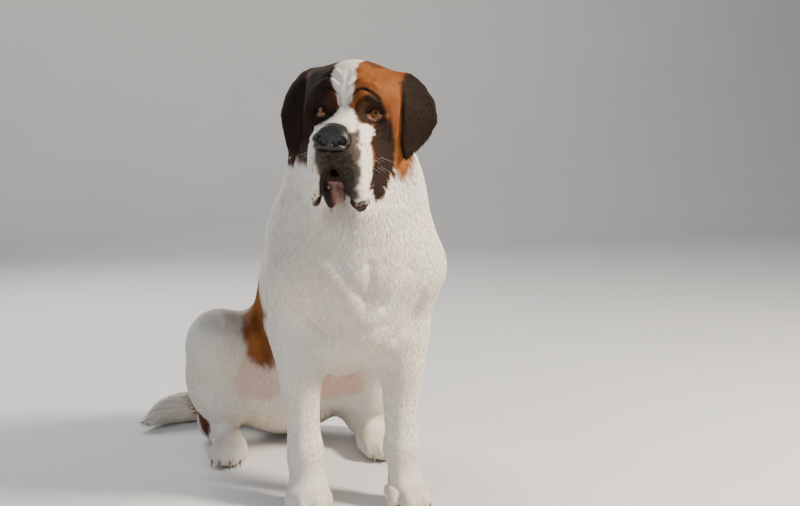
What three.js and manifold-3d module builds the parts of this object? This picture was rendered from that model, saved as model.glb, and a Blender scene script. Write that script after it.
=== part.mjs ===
// A short-coated Saint Bernard, sitting, at life size in millimetres, +Z up.
// The dog looks along -Y, its left side is +X, and the floor is Z = 0.
// Each form is a soft distance field built from anatomy: spines, ribs, limbs and folds with named
// sizes. Neighbouring forms melt into each other, the fields are turned into closed meshes, and
// thin plane cuts part the meshes into the named pieces of the body.

import * as THREE from "three";
import { mergeVertices } from "three/addons/utils/BufferGeometryUtils.js";
import Module from "manifold-3d";

const wasm = await Module();
wasm.setup();

// Driving sizes of the whole dog

const GAP = 0.3; // between pieces that touch
const WITHERS_HEIGHT = 742;
const ELBOW_HEIGHT = 362;
const WRIST_HEIGHT = 118;
const STANCE_HALF = 104; // from the middle of the body to a forepaw
const STAGGER = 24; // the left forepaw stands this far ahead, the right one as far back
const HIND_STANCE_HALF = 175;
const RUMP_SWING = -48; // the hindquarters sit a little to the dog's right
const HIND_STAGGER = 34;
const LEFT_FORELEG_IN = 12; // the left foreleg stands this much nearer the middle
const CHEST_HALF = 164;
const CHEST_DEPTH_HALF = 184;
const EYE_HEIGHT = 850;
const HEAD_TURN = -30; // degrees, to the dog's right
const HEAD_NOD = 8; // degrees, nose down
const HEAD_ROLL = 3; // degrees, left side down

// How finely each region is meshed

const CELL_TRUNK = 40;
const CELL_NECK = 32;
const CELL_LIMB = 28;
const CELL_PAW = 17;
const CELL_FACE = 14;
const CELL_SKULL = 20;
const CELL_JAW = 11;
const CELL_NOSE = 8;
const CELL_TAIL = 28;

// Small vector helpers on plain arrays

const DEGREE = Math.PI / 180;
const vector = (p) => new THREE.Vector3(...p);
const mirrored = (p, side) => [p[0] * side, p[1], p[2]];
const lengthOf = (x, y, z) => Math.sqrt(x * x + y * y + z * z);

// Distance fields: functions of x, y, z that are negative inside a form

/** A soft union: where two forms come within k of each other their surfaces melt together. */
const softMin = (a, b, k) => {
  const h = Math.max(k - Math.abs(a - b), 0) / k;
  return Math.min(a, b) - (h * h * k) / 4;
};

const melt = (k, ...fields) => (x, y, z) => {
  let d = fields[0](x, y, z);
  for (let i = 1; i < fields.length; i++) d = softMin(d, fields[i](x, y, z), k);
  return d;
};

/** Scoops the tool out of the form, with a soft rim. */
const scoop = (form, tool, k) => (x, y, z) => -softMin(-form(x, y, z), tool(x, y, z), k);

/** An ellipsoid with radii along its own axes, turned by degrees about X, Y and Z. */
function ball(centre, radii, turn = [0, 0, 0]) {
  const [rx, ry, rz] = radii;
  const euler = new THREE.Euler(...turn.map((t) => t * DEGREE), "ZYX");
  const e = new THREE.Matrix4().makeRotationFromEuler(euler).elements;
  const smallest = Math.min(rx, ry, rz);
  return (x, y, z) => {
    const dx = x - centre[0];
    const dy = y - centre[1];
    const dz = z - centre[2];
    const a = dx * e[0] + dy * e[1] + dz * e[2];
    const b = dx * e[4] + dy * e[5] + dz * e[6];
    const c = dx * e[8] + dy * e[9] + dz * e[10];
    const k0 = lengthOf(a / rx, b / ry, c / rz);
    const k1 = lengthOf(a / (rx * rx), b / (ry * ry), c / (rz * rz));
    return k1 < 1e-9 ? -smallest : (k0 * (k0 - 1)) / k1;
  };
}

/** A tapered limb between two points: a round cone with ball ends. */
function bone(from, to, radiusFrom, radiusTo) {
  const axis = vector(to).sub(vector(from));
  const span = axis.length();
  axis.normalize();
  const slope = (radiusFrom - radiusTo) / span;
  const lean = Math.sqrt(1 - slope * slope);
  return (x, y, z) => {
    const dx = x - from[0];
    const dy = y - from[1];
    const dz = z - from[2];
    const along = dx * axis.x + dy * axis.y + dz * axis.z;
    const away = Math.sqrt(Math.max(dx * dx + dy * dy + dz * dz - along * along, 0));
    const t = THREE.MathUtils.clamp(along + (away * slope) / lean, 0, span);
    return Math.hypot(away, along - t) - (radiusFrom + ((radiusTo - radiusFrom) * t) / span);
  };
}

/** A lofted form: stations { at, wide, deep } along a smooth line; wide is measured along `side`. */
function loft(stations, side = [1, 0, 0], steps = 20) {
  const line = new THREE.CatmullRomCurve3(stations.map((s) => vector(s.at)), false, "centripetal");
  const sizes = new THREE.CatmullRomCurve3(
    stations.map((s) => new THREE.Vector3(s.wide, s.deep, 0)),
    false,
    "catmullrom",
    0.5,
  );
  const across = vector(side).normalize();
  const rings = Array.from({ length: steps + 1 }, (_, i) => {
    const t = i / steps;
    const tangent = line.getTangent(t);
    const u = across.clone().addScaledVector(tangent, -across.dot(tangent)).normalize();
    const size = sizes.getPoint(t);
    return { p: line.getPoint(t), u, v: tangent.clone().cross(u), wide: size.x, deep: size.y };
  });
  const lerp = THREE.MathUtils.lerp;
  return (x, y, z) => {
    let best = Infinity;
    let found = 0;
    let share = 0;
    for (let i = 0; i < steps; i++) {
      const a = rings[i].p;
      const b = rings[i + 1].p;
      const bx = b.x - a.x;
      const by = b.y - a.y;
      const bz = b.z - a.z;
      const along = (x - a.x) * bx + (y - a.y) * by + (z - a.z) * bz;
      const t = THREE.MathUtils.clamp(along / (bx * bx + by * by + bz * bz), 0, 1);
      const d = lengthOf(x - a.x - bx * t, y - a.y - by * t, z - a.z - bz * t);
      if (d < best) {
        best = d;
        found = i;
        share = t;
      }
    }
    const a = rings[found];
    const b = rings[found + 1];
    const wide = lerp(a.wide, b.wide, share);
    const deep = lerp(a.deep, b.deep, share);
    const dx = x - lerp(a.p.x, b.p.x, share);
    const dy = y - lerp(a.p.y, b.p.y, share);
    const dz = z - lerp(a.p.z, b.p.z, share);
    const along = (from, to) =>
      dx * lerp(from.x, to.x, share) + dy * lerp(from.y, to.y, share) + dz * lerp(from.z, to.z, share);
    const du = along(a.u, b.u);
    const dv = along(a.v, b.v);
    const dw = Math.sqrt(Math.max(best * best - du * du - dv * dv, 0));
    const cap = Math.min(wide, deep);
    const k0 = lengthOf(du / wide, dv / deep, dw / cap);
    const k1 = lengthOf(du / (wide * wide), dv / (deep * deep), dw / (cap * cap));
    return k1 < 1e-9 ? -cap : (k0 * (k0 - 1)) / k1;
  };
}

const bothSides = (make) => [make(1), make(-1)];

/** The form, moved along X. */
const movedAcross = (form, distance) => (x, y, z) => form(x - distance, y, z);

// The trunk and the neck

const chestCentre = [-4, 95, 540];

const trunk = loft([
  { at: [-4, 0, 578], wide: 128, deep: 158 },
  { at: chestCentre, wide: CHEST_HALF, deep: CHEST_DEPTH_HALF },
  { at: [-4, 205, 458], wide: 170, deep: 182 },
  { at: [-14, 345, 338], wide: 154, deep: 158 },
  { at: [-38, 450, 225], wide: 156, deep: 140 },
  { at: [-52, 525, 125], wide: 150, deep: 118 },
]);

const withers = ball([0, 120, 672], [62, 110, 60], [-28, 0, 0]);
const breast = ball([0, -52, 508], [108, 66, 100], [12, 0, 0]);
const sternum = bone([-6, -44, 412], [-8, 130, 312], 70, 62);

const neck = loft([
  { at: [0, 45, 600], wide: 176, deep: 150 },
  { at: [-6, 8, 690], wide: 158, deep: 132 },
  { at: [-16, -4, 770], wide: 132, deep: 118 },
  { at: [-24, -6, 835], wide: 96, deep: 96 },
]);
const dewlap = bone([-20, -82, 650], [-38, -70, 725], 62, 50);

// The shoulder, upper arm, forearm and forepaw of one side

const elbowAt = (side) => [116 * side - 4, 42 - STAGGER * side, ELBOW_HEIGHT];
const wristAt = (side) => [(STANCE_HALF + 2) * side - 8, -4 - STAGGER * side, WRIST_HEIGHT];
const pasternAt = (side) => [STANCE_HALF * side - 9, -18 - STAGGER * side, 62];

const shoulder = (side) =>
  melt(
    40,
    bone([70 * side, 110, 650], [120 * side, -18 - 10 * side, 520], 62, 74),
    bone([120 * side, -16 - 10 * side, 520], [120 * side - 3, 36 - 20 * side, 392], 73, 59),
  );

const foreleg = (side) =>
  melt(
    24,
    bone(elbowAt(side), wristAt(side), 52, 35),
    ball([113 * side - 5, 6 - STAGGER * side, 320], [49, 45, 92]),
    ball([(STANCE_HALF + 2) * side - 8, -6 - STAGGER * side, WRIST_HEIGHT - 2], [38, 37, 34]),
    bone(
      [(STANCE_HALF + 2) * side - 8, 26 - STAGGER * side, WRIST_HEIGHT + 4],
      [(STANCE_HALF + 1) * side - 8, 22 - STAGGER * side, WRIST_HEIGHT - 12],
      15,
      12,
    ),
    bone(wristAt(side), pasternAt(side), 35, 37),
  );

// Paws: a pad of flesh behind four toes, the middle two foremost

const TOES = [
  { across: -34, ahead: 34, radius: 17 },
  { across: -13, ahead: 56, radius: 19 },
  { across: 13, ahead: 56, radius: 19 },
  { across: 34, ahead: 34, radius: 17 },
];

/** A place beside the swung hindquarters: `out` beyond the hind stance, at the length `y`. */
const hindSpot = (side, out, y) => [
  RUMP_SWING + (HIND_STANCE_HALF + out) * side,
  y - HIND_STAGGER * side,
];

/** Where a paw stands: its middle on the floor, the way it points and its size. */
const PAWS = {
  left_forepaw: { at: [STANCE_HALF - 7 - LEFT_FORELEG_IN, -32 - STAGGER], turn: 6, size: 1 },
  right_forepaw: { at: [-STANCE_HALF - 11, -32 + STAGGER], turn: -12, size: 1 },
  left_hindpaw: { at: hindSpot(1, -2, 330), turn: 14, size: 0.94 },
  right_hindpaw: { at: hindSpot(-1, 0, 330), turn: -20, size: 0.94 },
};

/** A point of a paw, from its own across, ahead and up. */
function onPaw({ at, turn, size }, across, ahead, up) {
  const c = Math.cos(turn * DEGREE);
  const s = Math.sin(turn * DEGREE);
  const x = across * size;
  const y = -ahead * size;
  return [at[0] + x * c - y * s, at[1] + x * s + y * c, up * size];
}

const paw = (stand) =>
  melt(
    12,
    ball(onPaw(stand, 0, -4, 32), [43 * stand.size, 52 * stand.size, 37 * stand.size], [0, 0, stand.turn]),
    ...TOES.map(({ across, ahead, radius }) =>
      melt(
        8,
        bone(
          onPaw(stand, across * 0.72, ahead - 42, 40),
          onPaw(stand, across, ahead - 6, 38),
          (radius - 3) * stand.size,
          (radius + 1) * stand.size,
        ),
        bone(
          onPaw(stand, across, ahead - 6, 36),
          onPaw(stand, across * 1.04, ahead + 8, 20),
          radius * stand.size,
          (radius - 1) * stand.size,
        ),
      ),
    ),
  );

// The hind leg of one side: the thigh runs forward to the knee, the shank back down to the hock,
// and the foot lies flat from the hock to the toes

const hipAt = (side) => [RUMP_SWING + 82 * side, 505 - 12 * side, 190];
const kneeAt = (side) => [...hindSpot(side, 20, 352), 290];
const hockAt = (side) => [...hindSpot(side, 16, 500), 62];

const thigh = (side) =>
  melt(
    50,
    bone(hipAt(side), kneeAt(side), 120, 72),
    ball([...hindSpot(side, -2, 446), 212], [92, 112, 132], [-24, 0, 0]),
    ball([...hindSpot(side, 12, 360), 304], [66, 60, 66]),
  );

const shank = (side) =>
  melt(
    30,
    bone([...hindSpot(side, 18, 360), 262], hockAt(side), 68, 38),
    ball([...hindSpot(side, 14, 412), 168], [56, 62, 90], [-34, 0, 0]),
  );

const hindFoot = (side) =>
  melt(20, bone([...hindSpot(side, 14, 530), 44], [...hindSpot(side, 2, 372), 38], 33, 35));

// The tail lies on the floor and sweeps round to the dog's right

const TAIL_LINE = [
  { at: [-56, 592, 92], wide: 54, deep: 50 },
  { at: [-98, 676, 60], wide: 46, deep: 48 },
  { at: [-180, 728, 45], wide: 45, deep: 47 },
  { at: [-272, 742, 42], wide: 45, deep: 42 },
  { at: [-344, 724, 37], wide: 39, deep: 36 },
  { at: [-396, 676, 24], wide: 18, deep: 18 },
];
const tail = loft(TAIL_LINE, [0, 0, 1]);

const bodyField = melt(
  46,
  melt(60, trunk, melt(60, neck, dewlap), withers, breast, sternum),
  movedAcross(melt(46, shoulder(1), foreleg(1)), -LEFT_FORELEG_IN),
  shoulder(-1),
  foreleg(-1),
  ...bothSides(thigh),
  ...bothSides(shank),
  ...bothSides(hindFoot),
);
const pawFields = Object.values(PAWS).map(paw);
const wholeBody = melt(26, bodyField, tail, ...pawFields);

// The head, in its own frame: the origin lies midway between the eyes, the nose is along -Y

const headFrame = new THREE.Matrix4()
  .makeTranslation(-47, -108, EYE_HEIGHT)
  .multiply(
    new THREE.Matrix4().makeRotationFromEuler(
      new THREE.Euler(HEAD_NOD * DEGREE, HEAD_ROLL * DEGREE, HEAD_TURN * DEGREE, "ZXY"),
    ),
  );

const EYE = { x: 53, y: 6, z: 0, radius: 13 };
const SKULL_TOP = 94;
const SKULL_HALF = 88;
const CHEEK_HALF = 98;
const MUZZLE_HALF = 54;
const NOSE = { y: -126, z: -34, half: 34, high: 26, deep: 22 };
const FLEW_FALL = -168; // how low the upper lips hang
const CHIN_FALL = -134;

const skull = melt(
  34,
  ball([0, 80, SKULL_TOP - 78], [SKULL_HALF, 112, 78]),
  ball([0, 34, SKULL_TOP - 54], [76, 58, 50]),
  ...bothSides((side) => ball([(CHEEK_HALF - 38) * side, 62, -48], [38, 66, 60])),
  ...bothSides((side) => ball([(CHEEK_HALF - 24) * side, 34, -12], [22, 46, 24])),
  ...bothSides((side) => ball([(SKULL_HALF - 8) * side, 54, 44], [24, 36, 30])),
);
const brow = (side) => ball([43 * side, 0, 29], [30, 20, 17], [0, 0, 14 * side]);
const muzzle = loft([
  { at: [0, 34, -42], wide: 66, deep: 50 },
  { at: [0, -30, -50], wide: MUZZLE_HALF + 4, deep: 50 },
  { at: [0, -84, -52], wide: MUZZLE_HALF, deep: 45 },
  { at: [0, -112, -52], wide: 42, deep: 36 },
]);

/** The hanging upper lip of one side, thick at its front edge and running back to the cheek. */
const flew = (side) =>
  melt(
    20,
    ball(
      [45 * side, -64, (FLEW_FALL - 40) / 2],
      [19, 46, (-40 - FLEW_FALL) / 2],
      [-8, 5 * side, -8 * side],
    ),
    ball([52 * side, -22, -104], [20, 46, 44], [-14, 0, 0]),
    bone([26 * side, -108, -78], [42 * side, -92, FLEW_FALL + 20], 21, 15),
  );

const upperHead = melt(
  18,
  melt(26, skull, muzzle, ...bothSides(brow)),
  ...bothSides(flew),
);
const eyeSocket = (side) =>
  ball([EYE.x * side, EYE.y - 20, EYE.z - 3], [20, 20, 15], [0, 0, 24 * side]);
const mouthGap = melt(
  8,
  bone([0, -140, -94], [-3, -132, -176], 4, 31),
  bone([0, -104, -112], [-2, -66, -176], 10, 30),
);
const philtrum = bone([0, -134, -58], [0, -134, -92], 3.5, 5);

const throatSkin = melt(22, ball([0, 54, -86], [60, 70, 46]), bone([0, 12, -98], [0, 66, -128], 20, 40));

const headField = melt(
  24,
  scoop(
    scoop(scoop(upperHead, melt(4, ...bothSides(eyeSocket)), 12), mouthGap, 9),
    philtrum,
    6,
  ),
  throatSkin,
);

const jawField = melt(
  14,
  loft([
    { at: [0, 20, -108], wide: 46, deep: 26 },
    { at: [0, -44, -112], wide: 31, deep: 22 },
    { at: [0, -84, -112], wide: 25, deep: 19 },
  ]),
  ball([0, -90, CHIN_FALL + 17], [23, 15, 17]),
  bone([34, -30, -128], [45, -48, -172], 13, 13),
  bone([-26, -24, -128], [-28, -38, -170], 12, 12),
);

const noseField = scoop(
  scoop(
    melt(
      8,
      ball([0, NOSE.y, NOSE.z], [NOSE.half, NOSE.deep, NOSE.high]),
      ball([0, NOSE.y + 12, NOSE.z + 14], [NOSE.half - 6, 22, 14]),
      ...bothSides((side) => ball([(NOSE.half - 15) * side, NOSE.y - 7, NOSE.z - 2], [16, 15, 19])),
      bone([0, NOSE.y - 6, NOSE.z - 8], [0, NOSE.y - 2, NOSE.z - 26], 11, 8),
    ),
    melt(
      3,
      ...bothSides((side) =>
        bone(
          [13 * side, NOSE.y - 24, NOSE.z - 1],
          [22 * side, NOSE.y - 8, NOSE.z - 6],
          6.5,
          5,
        ),
      ),
    ),
    4,
  ),
  bone([0, NOSE.y - 25, NOSE.z + 6], [0, NOSE.y - 17, NOSE.z - 30], 2.4, 2.4),
  4,
);

/** A field of the head's frame as the body's frame sees it, and the other way round. */
const seenFrom = (matrix, field) => {
  const m = matrix.clone().invert().elements;
  return (x, y, z) =>
    field(
      m[0] * x + m[4] * y + m[8] * z + m[12],
      m[1] * x + m[5] * y + m[9] * z + m[13],
      m[2] * x + m[6] * y + m[10] * z + m[14],
    );
};
const NAPE_MELT = 34;
const dogField = melt(NAPE_MELT, wholeBody, seenFrom(headFrame, headField));
const headWithNeck = seenFrom(headFrame.clone().invert(), dogField);

// From a field to a closed mesh

const CORNERS = Array.from({ length: 8 }, (_, i) => [i & 1, (i >> 1) & 1, (i >> 2) & 1]);
const EDGES = CORNERS.flatMap((c, i) =>
  [1, 2, 4].filter((bit) => !(i & bit)).map((bit) => [i, i | bit]),
);

/** The field's closed mesh. Where two sheets share an edge, the grid is nudged and tried again. */
function meshOf(field, low, high, cell) {
  let best = null;
  for (let attempt = 0; attempt < 8; attempt++) {
    const nudge = attempt * 0.13 * cell;
    const net = netOf(field, low.map((v) => v - nudge), high, cell);
    if (!best || net.shared < best.shared) best = net;
    if (best.shared === 0) break;
  }
  relax(best.points, best.quads, field, cell);
  return { points: best.points, triangles: best.quads.flatMap((q) => splitQuad(best.points, q)) };
}

function sharedEdges(quads) {
  const uses = new Map();
  for (const quad of quads)
    quad.forEach((v, i) => {
      const w = quad[(i + 1) % 4];
      const key = Math.min(v, w) * 1e6 + Math.max(v, w);
      uses.set(key, (uses.get(key) || 0) + 1);
    });
  return [...uses.values()].filter((n) => n !== 2).length;
}

/** For each corner of a cell, the lowest corner that it reaches through inside corners. */
function sheetsOf(at) {
  const sheet = at.map((v, i) => (v < 0 ? i : -1));
  for (let round = 0; round < 3; round++)
    for (const [a, b] of EDGES)
      if (sheet[a] >= 0 && sheet[b] >= 0) sheet[a] = sheet[b] = Math.min(sheet[a], sheet[b]);
  return sheet;
}

/** Surface nets: in each cell that the surface crosses, one vertex for each sheet of it. */
function netOf(field, low, high, cell) {
  const [nx, ny, nz] = [0, 1, 2].map((k) => Math.ceil((high[k] - low[k]) / cell) + 1);
  const values = new Float32Array(nx * ny * nz);
  const index = (i, j, k) => i + nx * (j + ny * k);
  for (let k = 0; k < nz; k++)
    for (let j = 0; j < ny; j++)
      for (let i = 0; i < nx; i++) {
        const rim = i === 0 || j === 0 || k === 0 || i === nx - 1 || j === ny - 1 || k === nz - 1;
        const d = field(low[0] + i * cell, low[1] + j * cell, low[2] + k * cell);
        values[index(i, j, k)] = rim ? Math.max(d, cell / 2) : d;
      }
  const vertexAt = new Map();
  const points = [];
  for (let k = 0; k < nz - 1; k++)
    for (let j = 0; j < ny - 1; j++)
      for (let i = 0; i < nx - 1; i++) {
        const at = CORNERS.map(([a, b, c]) => values[index(i + a, j + b, k + c)]);
        const sheet = sheetsOf(at);
        for (const one of new Set(sheet.filter((v) => v >= 0))) {
          const sum = [0, 0, 0];
          let crossings = 0;
          for (const [a, b] of EDGES) {
            if (at[a] < 0 === at[b] < 0 || sheet[at[a] < 0 ? a : b] !== one) continue;
            const t = at[a] / (at[a] - at[b]);
            for (let axis = 0; axis < 3; axis++)
              sum[axis] += CORNERS[a][axis] + t * (CORNERS[b][axis] - CORNERS[a][axis]);
            crossings++;
          }
          if (crossings === 0) continue;
          for (let corner = 0; corner < 8; corner++)
            if (sheet[corner] === one) vertexAt.set(index(i, j, k) * 8 + corner, points.length);
          points.push([i, j, k].map((v, axis) => low[axis] + (v + sum[axis] / crossings) * cell));
        }
      }
  const quads = [];
  const step = [1, nx, nx * ny];
  for (let k = 0; k < nz - 1; k++)
    for (let j = 0; j < ny - 1; j++)
      for (let i = 0; i < nx - 1; i++)
        for (let axis = 0; axis < 3; axis++) {
          const [along, u, v] = [axis, (axis + 1) % 3, (axis + 2) % 3];
          const place = [i, j, k];
          if (place[u] === 0 || place[v] === 0) continue;
          const here = index(i, j, k);
          const near = values[here] < 0;
          if (near === values[here + step[along]] < 0) continue;
          const insideBit = near ? 0 : 1 << along;
          const around = [[1, 1], [0, 1], [0, 0], [1, 0]];
          const loop = around.map(([du, dv]) =>
            vertexAt.get((here - du * step[u] - dv * step[v]) * 8 + insideBit + (du << u) + (dv << v)),
          );
          quads.push(near ? loop : loop.reverse());
        }
  return { points, quads, shared: sharedEdges(quads) };
}

/** Evens out the net and puts each vertex back on the surface, so that faces stay well shaped. */
function relax(points, quads, field, cell) {
  const near = points.map(() => new Set());
  for (const q of quads)
    q.forEach((v, i) => {
      near[v].add(q[(i + 1) % 4]);
      near[v].add(q[(i + 3) % 4]);
    });
  const rounds = 5;
  const most = cell * 0.35;
  for (let round = 0; round < rounds; round++) {
    const moved = points.map((p, i) => {
      const mean = [0, 0, 0];
      near[i].forEach((j) => mean.forEach((_, k) => (mean[k] += points[j][k] / near[i].size)));
      const middle = round < rounds - 1 ? p.map((v, k) => v + 0.4 * (mean[k] - v)) : p;
      return ontoSurface(field, middle, most);
    });
    moved.forEach((p, i) => (points[i] = p));
  }
}

function slopeOf(field, [x, y, z], h = 0.5) {
  return [
    (field(x + h, y, z) - field(x - h, y, z)) / (2 * h),
    (field(x, y + h, z) - field(x, y - h, z)) / (2 * h),
    (field(x, y, z + h) - field(x, y, z - h)) / (2 * h),
  ];
}

function ontoSurface(field, point, most) {
  let p = point;
  for (let i = 0; i < 2; i++) {
    const g = slopeOf(field, p);
    const steep = Math.max(g[0] * g[0] + g[1] * g[1] + g[2] * g[2], 0.2);
    const d = THREE.MathUtils.clamp(field(...p) / steep, -most, most);
    p = p.map((v, k) => v - g[k] * d);
  }
  return p;
}

function splitQuad(points, [a, b, c, d]) {
  const far = (i, j) => vector(points[i]).distanceTo(vector(points[j]));
  return far(a, c) < far(b, d) ? [[a, b, c], [a, c, d]] : [[a, b, d], [b, c, d]];
}

// From meshes to solids that can be joined and cut

const solidFrom = ({ points, triangles }) =>
  new wasm.Manifold(
    new wasm.Mesh({
      numProp: 3,
      vertProperties: new Float32Array(points.flat()),
      triVerts: new Uint32Array(triangles.flat()),
    }),
  );

/** The same mesh with each vertex moved out by the gap, as a tool that leaves a gap when it cuts. */
const grown = ({ points, triangles }, field, by = GAP) => ({
  triangles,
  points: points.map((p) => {
    const g = slopeOf(field, p);
    const size = Math.max(lengthOf(...g), 1e-6);
    return p.map((v, k) => v + (g[k] / size) * by);
  }),
});

/** A three.js geometry as a solid. */
function solidOfGeometry(geometry) {
  const bare = geometry.index ? geometry.toNonIndexed() : geometry.clone();
  bare.deleteAttribute("normal");
  bare.deleteAttribute("uv");
  const merged = mergeVertices(bare, 1e-4);
  return new wasm.Manifold(
    new wasm.Mesh({
      numProp: 3,
      vertProperties: merged.attributes.position.array,
      triVerts: new Uint32Array(merged.index.array),
    }),
  );
}

function geometryOfSolid(solid) {
  const mesh = solid.getMesh();
  return new THREE.BufferGeometry()
    .setAttribute("position", new THREE.BufferAttribute(mesh.vertProperties, 3))
    .setIndex(new THREE.BufferAttribute(mesh.triVerts, 1));
}

const largest = (solid) =>
  solid.decompose().reduce((a, b) => (b.volume() > a.volume() ? b : a));

/** A cutting plane through a point. Keeping one side leaves half of the gap to the plane. */
const plane = (point, normal) => {
  const n = vector(normal).normalize();
  return { n, offset: n.dot(vector(point)) };
};
const ahead = (solid, { n, offset }) => solid.trimByPlane(n.toArray(), offset + GAP / 2);
const behind = (solid, { n, offset }) =>
  solid.trimByPlane(n.clone().negate().toArray(), -offset + GAP / 2);

/** A box between two corners, as the region that a limb's piece is cut from. */
function block(low, high, margin = 0) {
  const size = low.map((v, k) => high[k] - v + 2 * margin);
  const middle = low.map((v, k) => (v + high[k]) / 2);
  return solidOfGeometry(new THREE.BoxGeometry(...size).translate(...middle));
}

const FLOOR = plane([0, 0, -GAP / 2], [0, 0, 1]);

// Materials of the plain model

const coat = (colour) => new THREE.MeshStandardMaterial({ color: colour, roughness: 0.85, metalness: 0 });
const WHITE_COAT = coat(0xe9e0d2);
const BROWN_COAT = coat(0x7a4420);
const DARK_COAT = coat(0x2c211d);
const NOSE_SKIN = new THREE.MeshStandardMaterial({ color: 0x1b1716, roughness: 0.35, metalness: 0 });
const EYE_SHINE = new THREE.MeshStandardMaterial({ color: 0x4a2610, roughness: 0.08, metalness: 0 });

const dog = new THREE.Group();
const head = new THREE.Group();
head.applyMatrix4(headFrame);
dog.add(head);

function addPiece(group, name, solid, material) {
  const mesh = new THREE.Mesh(geometryOfSolid(largest(solid)), material);
  mesh.name = name;
  group.add(mesh);
}

// Where the trunk is cut across, and the regions of the limbs

const NECK_CUT = plane([0, 20, 655], [0, -0.42, 0.91]);
const RIB_CUT = plane([0, 272, 404], [0, -0.72, 0.69]);
const RUMP_CUT = plane([0, 418, 262], [0, -0.62, 0.78]);
const TAIL_CUT = plane([-76, 632, 80], [0.45, -0.89, 0.1]);
const TAIL_MIDDLE_CUT = plane([-225, 720, 40], [1, -0.05, 0]);
const NAPE_POINT = [0, 84, -60];
const NAPE_NORMAL = [0, -0.62, 0.78];
const NAPE_CUT = plane(NAPE_POINT, NAPE_NORMAL);
const NAPE_CUT_ON_BODY = plane(
  vector(NAPE_POINT).applyMatrix4(headFrame).toArray(),
  vector(NAPE_NORMAL).transformDirection(headFrame).toArray(),
);

const sorted = (a, b) => [Math.min(a, b), Math.max(a, b)];
function sideBlock(side, [nearX, farX], [lowY, highY], [lowZ, highZ], middle, margin) {
  const [left, right] = sorted(middle + nearX * side, middle + farX * side);
  return block([left, lowY, lowZ], [right, highY, highZ], margin);
}
const ARMPIT_Z = 380;
const WRIST_CUT_Z = 92;
const REGIONS = {
  shoulder: [[100, 300], [-160, 140], [ARMPIT_Z, 640], 0],
  foreleg: [[62, 300], [-160, 120], [-20, ARMPIT_Z], 0],
  hind: [[104, 420], [200, 640], [-20, 420], RUMP_SWING],
};
const region = (name, side, margin = 0) => sideBlock(side, ...REGIONS[name], margin);

// The pieces of the trunk

const trunkMesh = meshOf(dogField, [-330, -200, -60], [330, 760, 800], CELL_TRUNK);
let core = ahead(solidFrom(trunkMesh), FLOOR);
for (const side of [1, -1])
  for (const name of Object.keys(REGIONS)) core = core.subtract(region(name, side, GAP / 2));
const chestAndBack = behind(core, NECK_CUT);
addPiece(dog, "chest", ahead(chestAndBack, RIB_CUT), WHITE_COAT);
const backHalf = behind(chestAndBack, RIB_CUT);
addPiece(dog, "belly", ahead(backHalf, RUMP_CUT), BROWN_COAT);
addPiece(dog, "rump", ahead(behind(backHalf, RUMP_CUT), TAIL_CUT), BROWN_COAT);

const neckMesh = meshOf(dogField, [-250, -230, 560], [250, 260, 960], CELL_NECK);
addPiece(dog, "neck", behind(ahead(solidFrom(neckMesh), NECK_CUT), NAPE_CUT_ON_BODY), WHITE_COAT);

const tailMesh = meshOf(dogField, [-460, 480, -40], [40, 800, 200], CELL_TAIL);
const wholeTail = behind(ahead(solidFrom(tailMesh), FLOOR), TAIL_CUT).subtract(region("hind", -1, GAP / 2));
addPiece(dog, "tail_root", ahead(wholeTail, TAIL_MIDDLE_CUT), BROWN_COAT);
addPiece(dog, "tail_end", behind(wholeTail, TAIL_MIDDLE_CUT), WHITE_COAT);

// Claws: a bent, tapered horn on each toe, joined to its paw

const CLAW_LENGTH = 15;
function claw(stand, { across, ahead: reach }) {
  const root = vector(onPaw(stand, across * 1.04, reach + 17, 22));
  const tip = vector(onPaw(stand, across * 1.08, reach + 17 + CLAW_LENGTH, 6));
  const geometry = new THREE.ConeGeometry(4.6, CLAW_LENGTH + 12, 7).translate(0, 2, 0);
  const way = tip.clone().sub(root).normalize();
  geometry.applyQuaternion(new THREE.Quaternion().setFromUnitVectors(new THREE.Vector3(0, 1, 0), way));
  geometry.translate(...root.toArray());
  return solidOfGeometry(geometry);
}

// The pieces of the legs

function foreLegPieces(sideName, side) {
  const low = sorted(60 * side, 290 * side);
  const armMesh = meshOf(dogField, [low[0] - 20, -190, 300], [low[1] + 20, 200, 700], CELL_LIMB + 4);
  const arm = solidFrom(armMesh).intersect(region("shoulder", side, -GAP / 2));
  addPiece(dog, sideName + "_shoulder", behind(arm, NECK_CUT), WHITE_COAT);
  const legMesh = meshOf(dogField, [low[0] - 20, -180, 40], [low[1] + 20, 200, 440], CELL_LIMB);
  const leg = solidFrom(legMesh).intersect(region("foreleg", side, -GAP / 2));
  addPiece(dog, sideName + "_foreleg", ahead(leg, plane([0, 0, WRIST_CUT_Z], [0, 0, 1])), WHITE_COAT);
  addPaw(sideName + "_forepaw", region("foreleg", side, -GAP / 2), plane([0, 0, WRIST_CUT_Z], [0, 0, -1]));
}

/** What lies in the limb's region and beyond the cuts from the leg, with its claws. */
function addPaw(name, home, ...cuts) {
  const stand = PAWS[name];
  const [x, y] = stand.at;
  const mesh = meshOf(dogField, [x - 98, y - 120, -42], [x + 98, y + 104, 140], CELL_PAW);
  let solid = [FLOOR, ...cuts].reduce(ahead, solidFrom(mesh)).intersect(home);
  for (const toe of TOES) solid = solid.add(claw(stand, toe));
  addPiece(dog, name, ahead(solid, FLOOR), WHITE_COAT);
}

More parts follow.
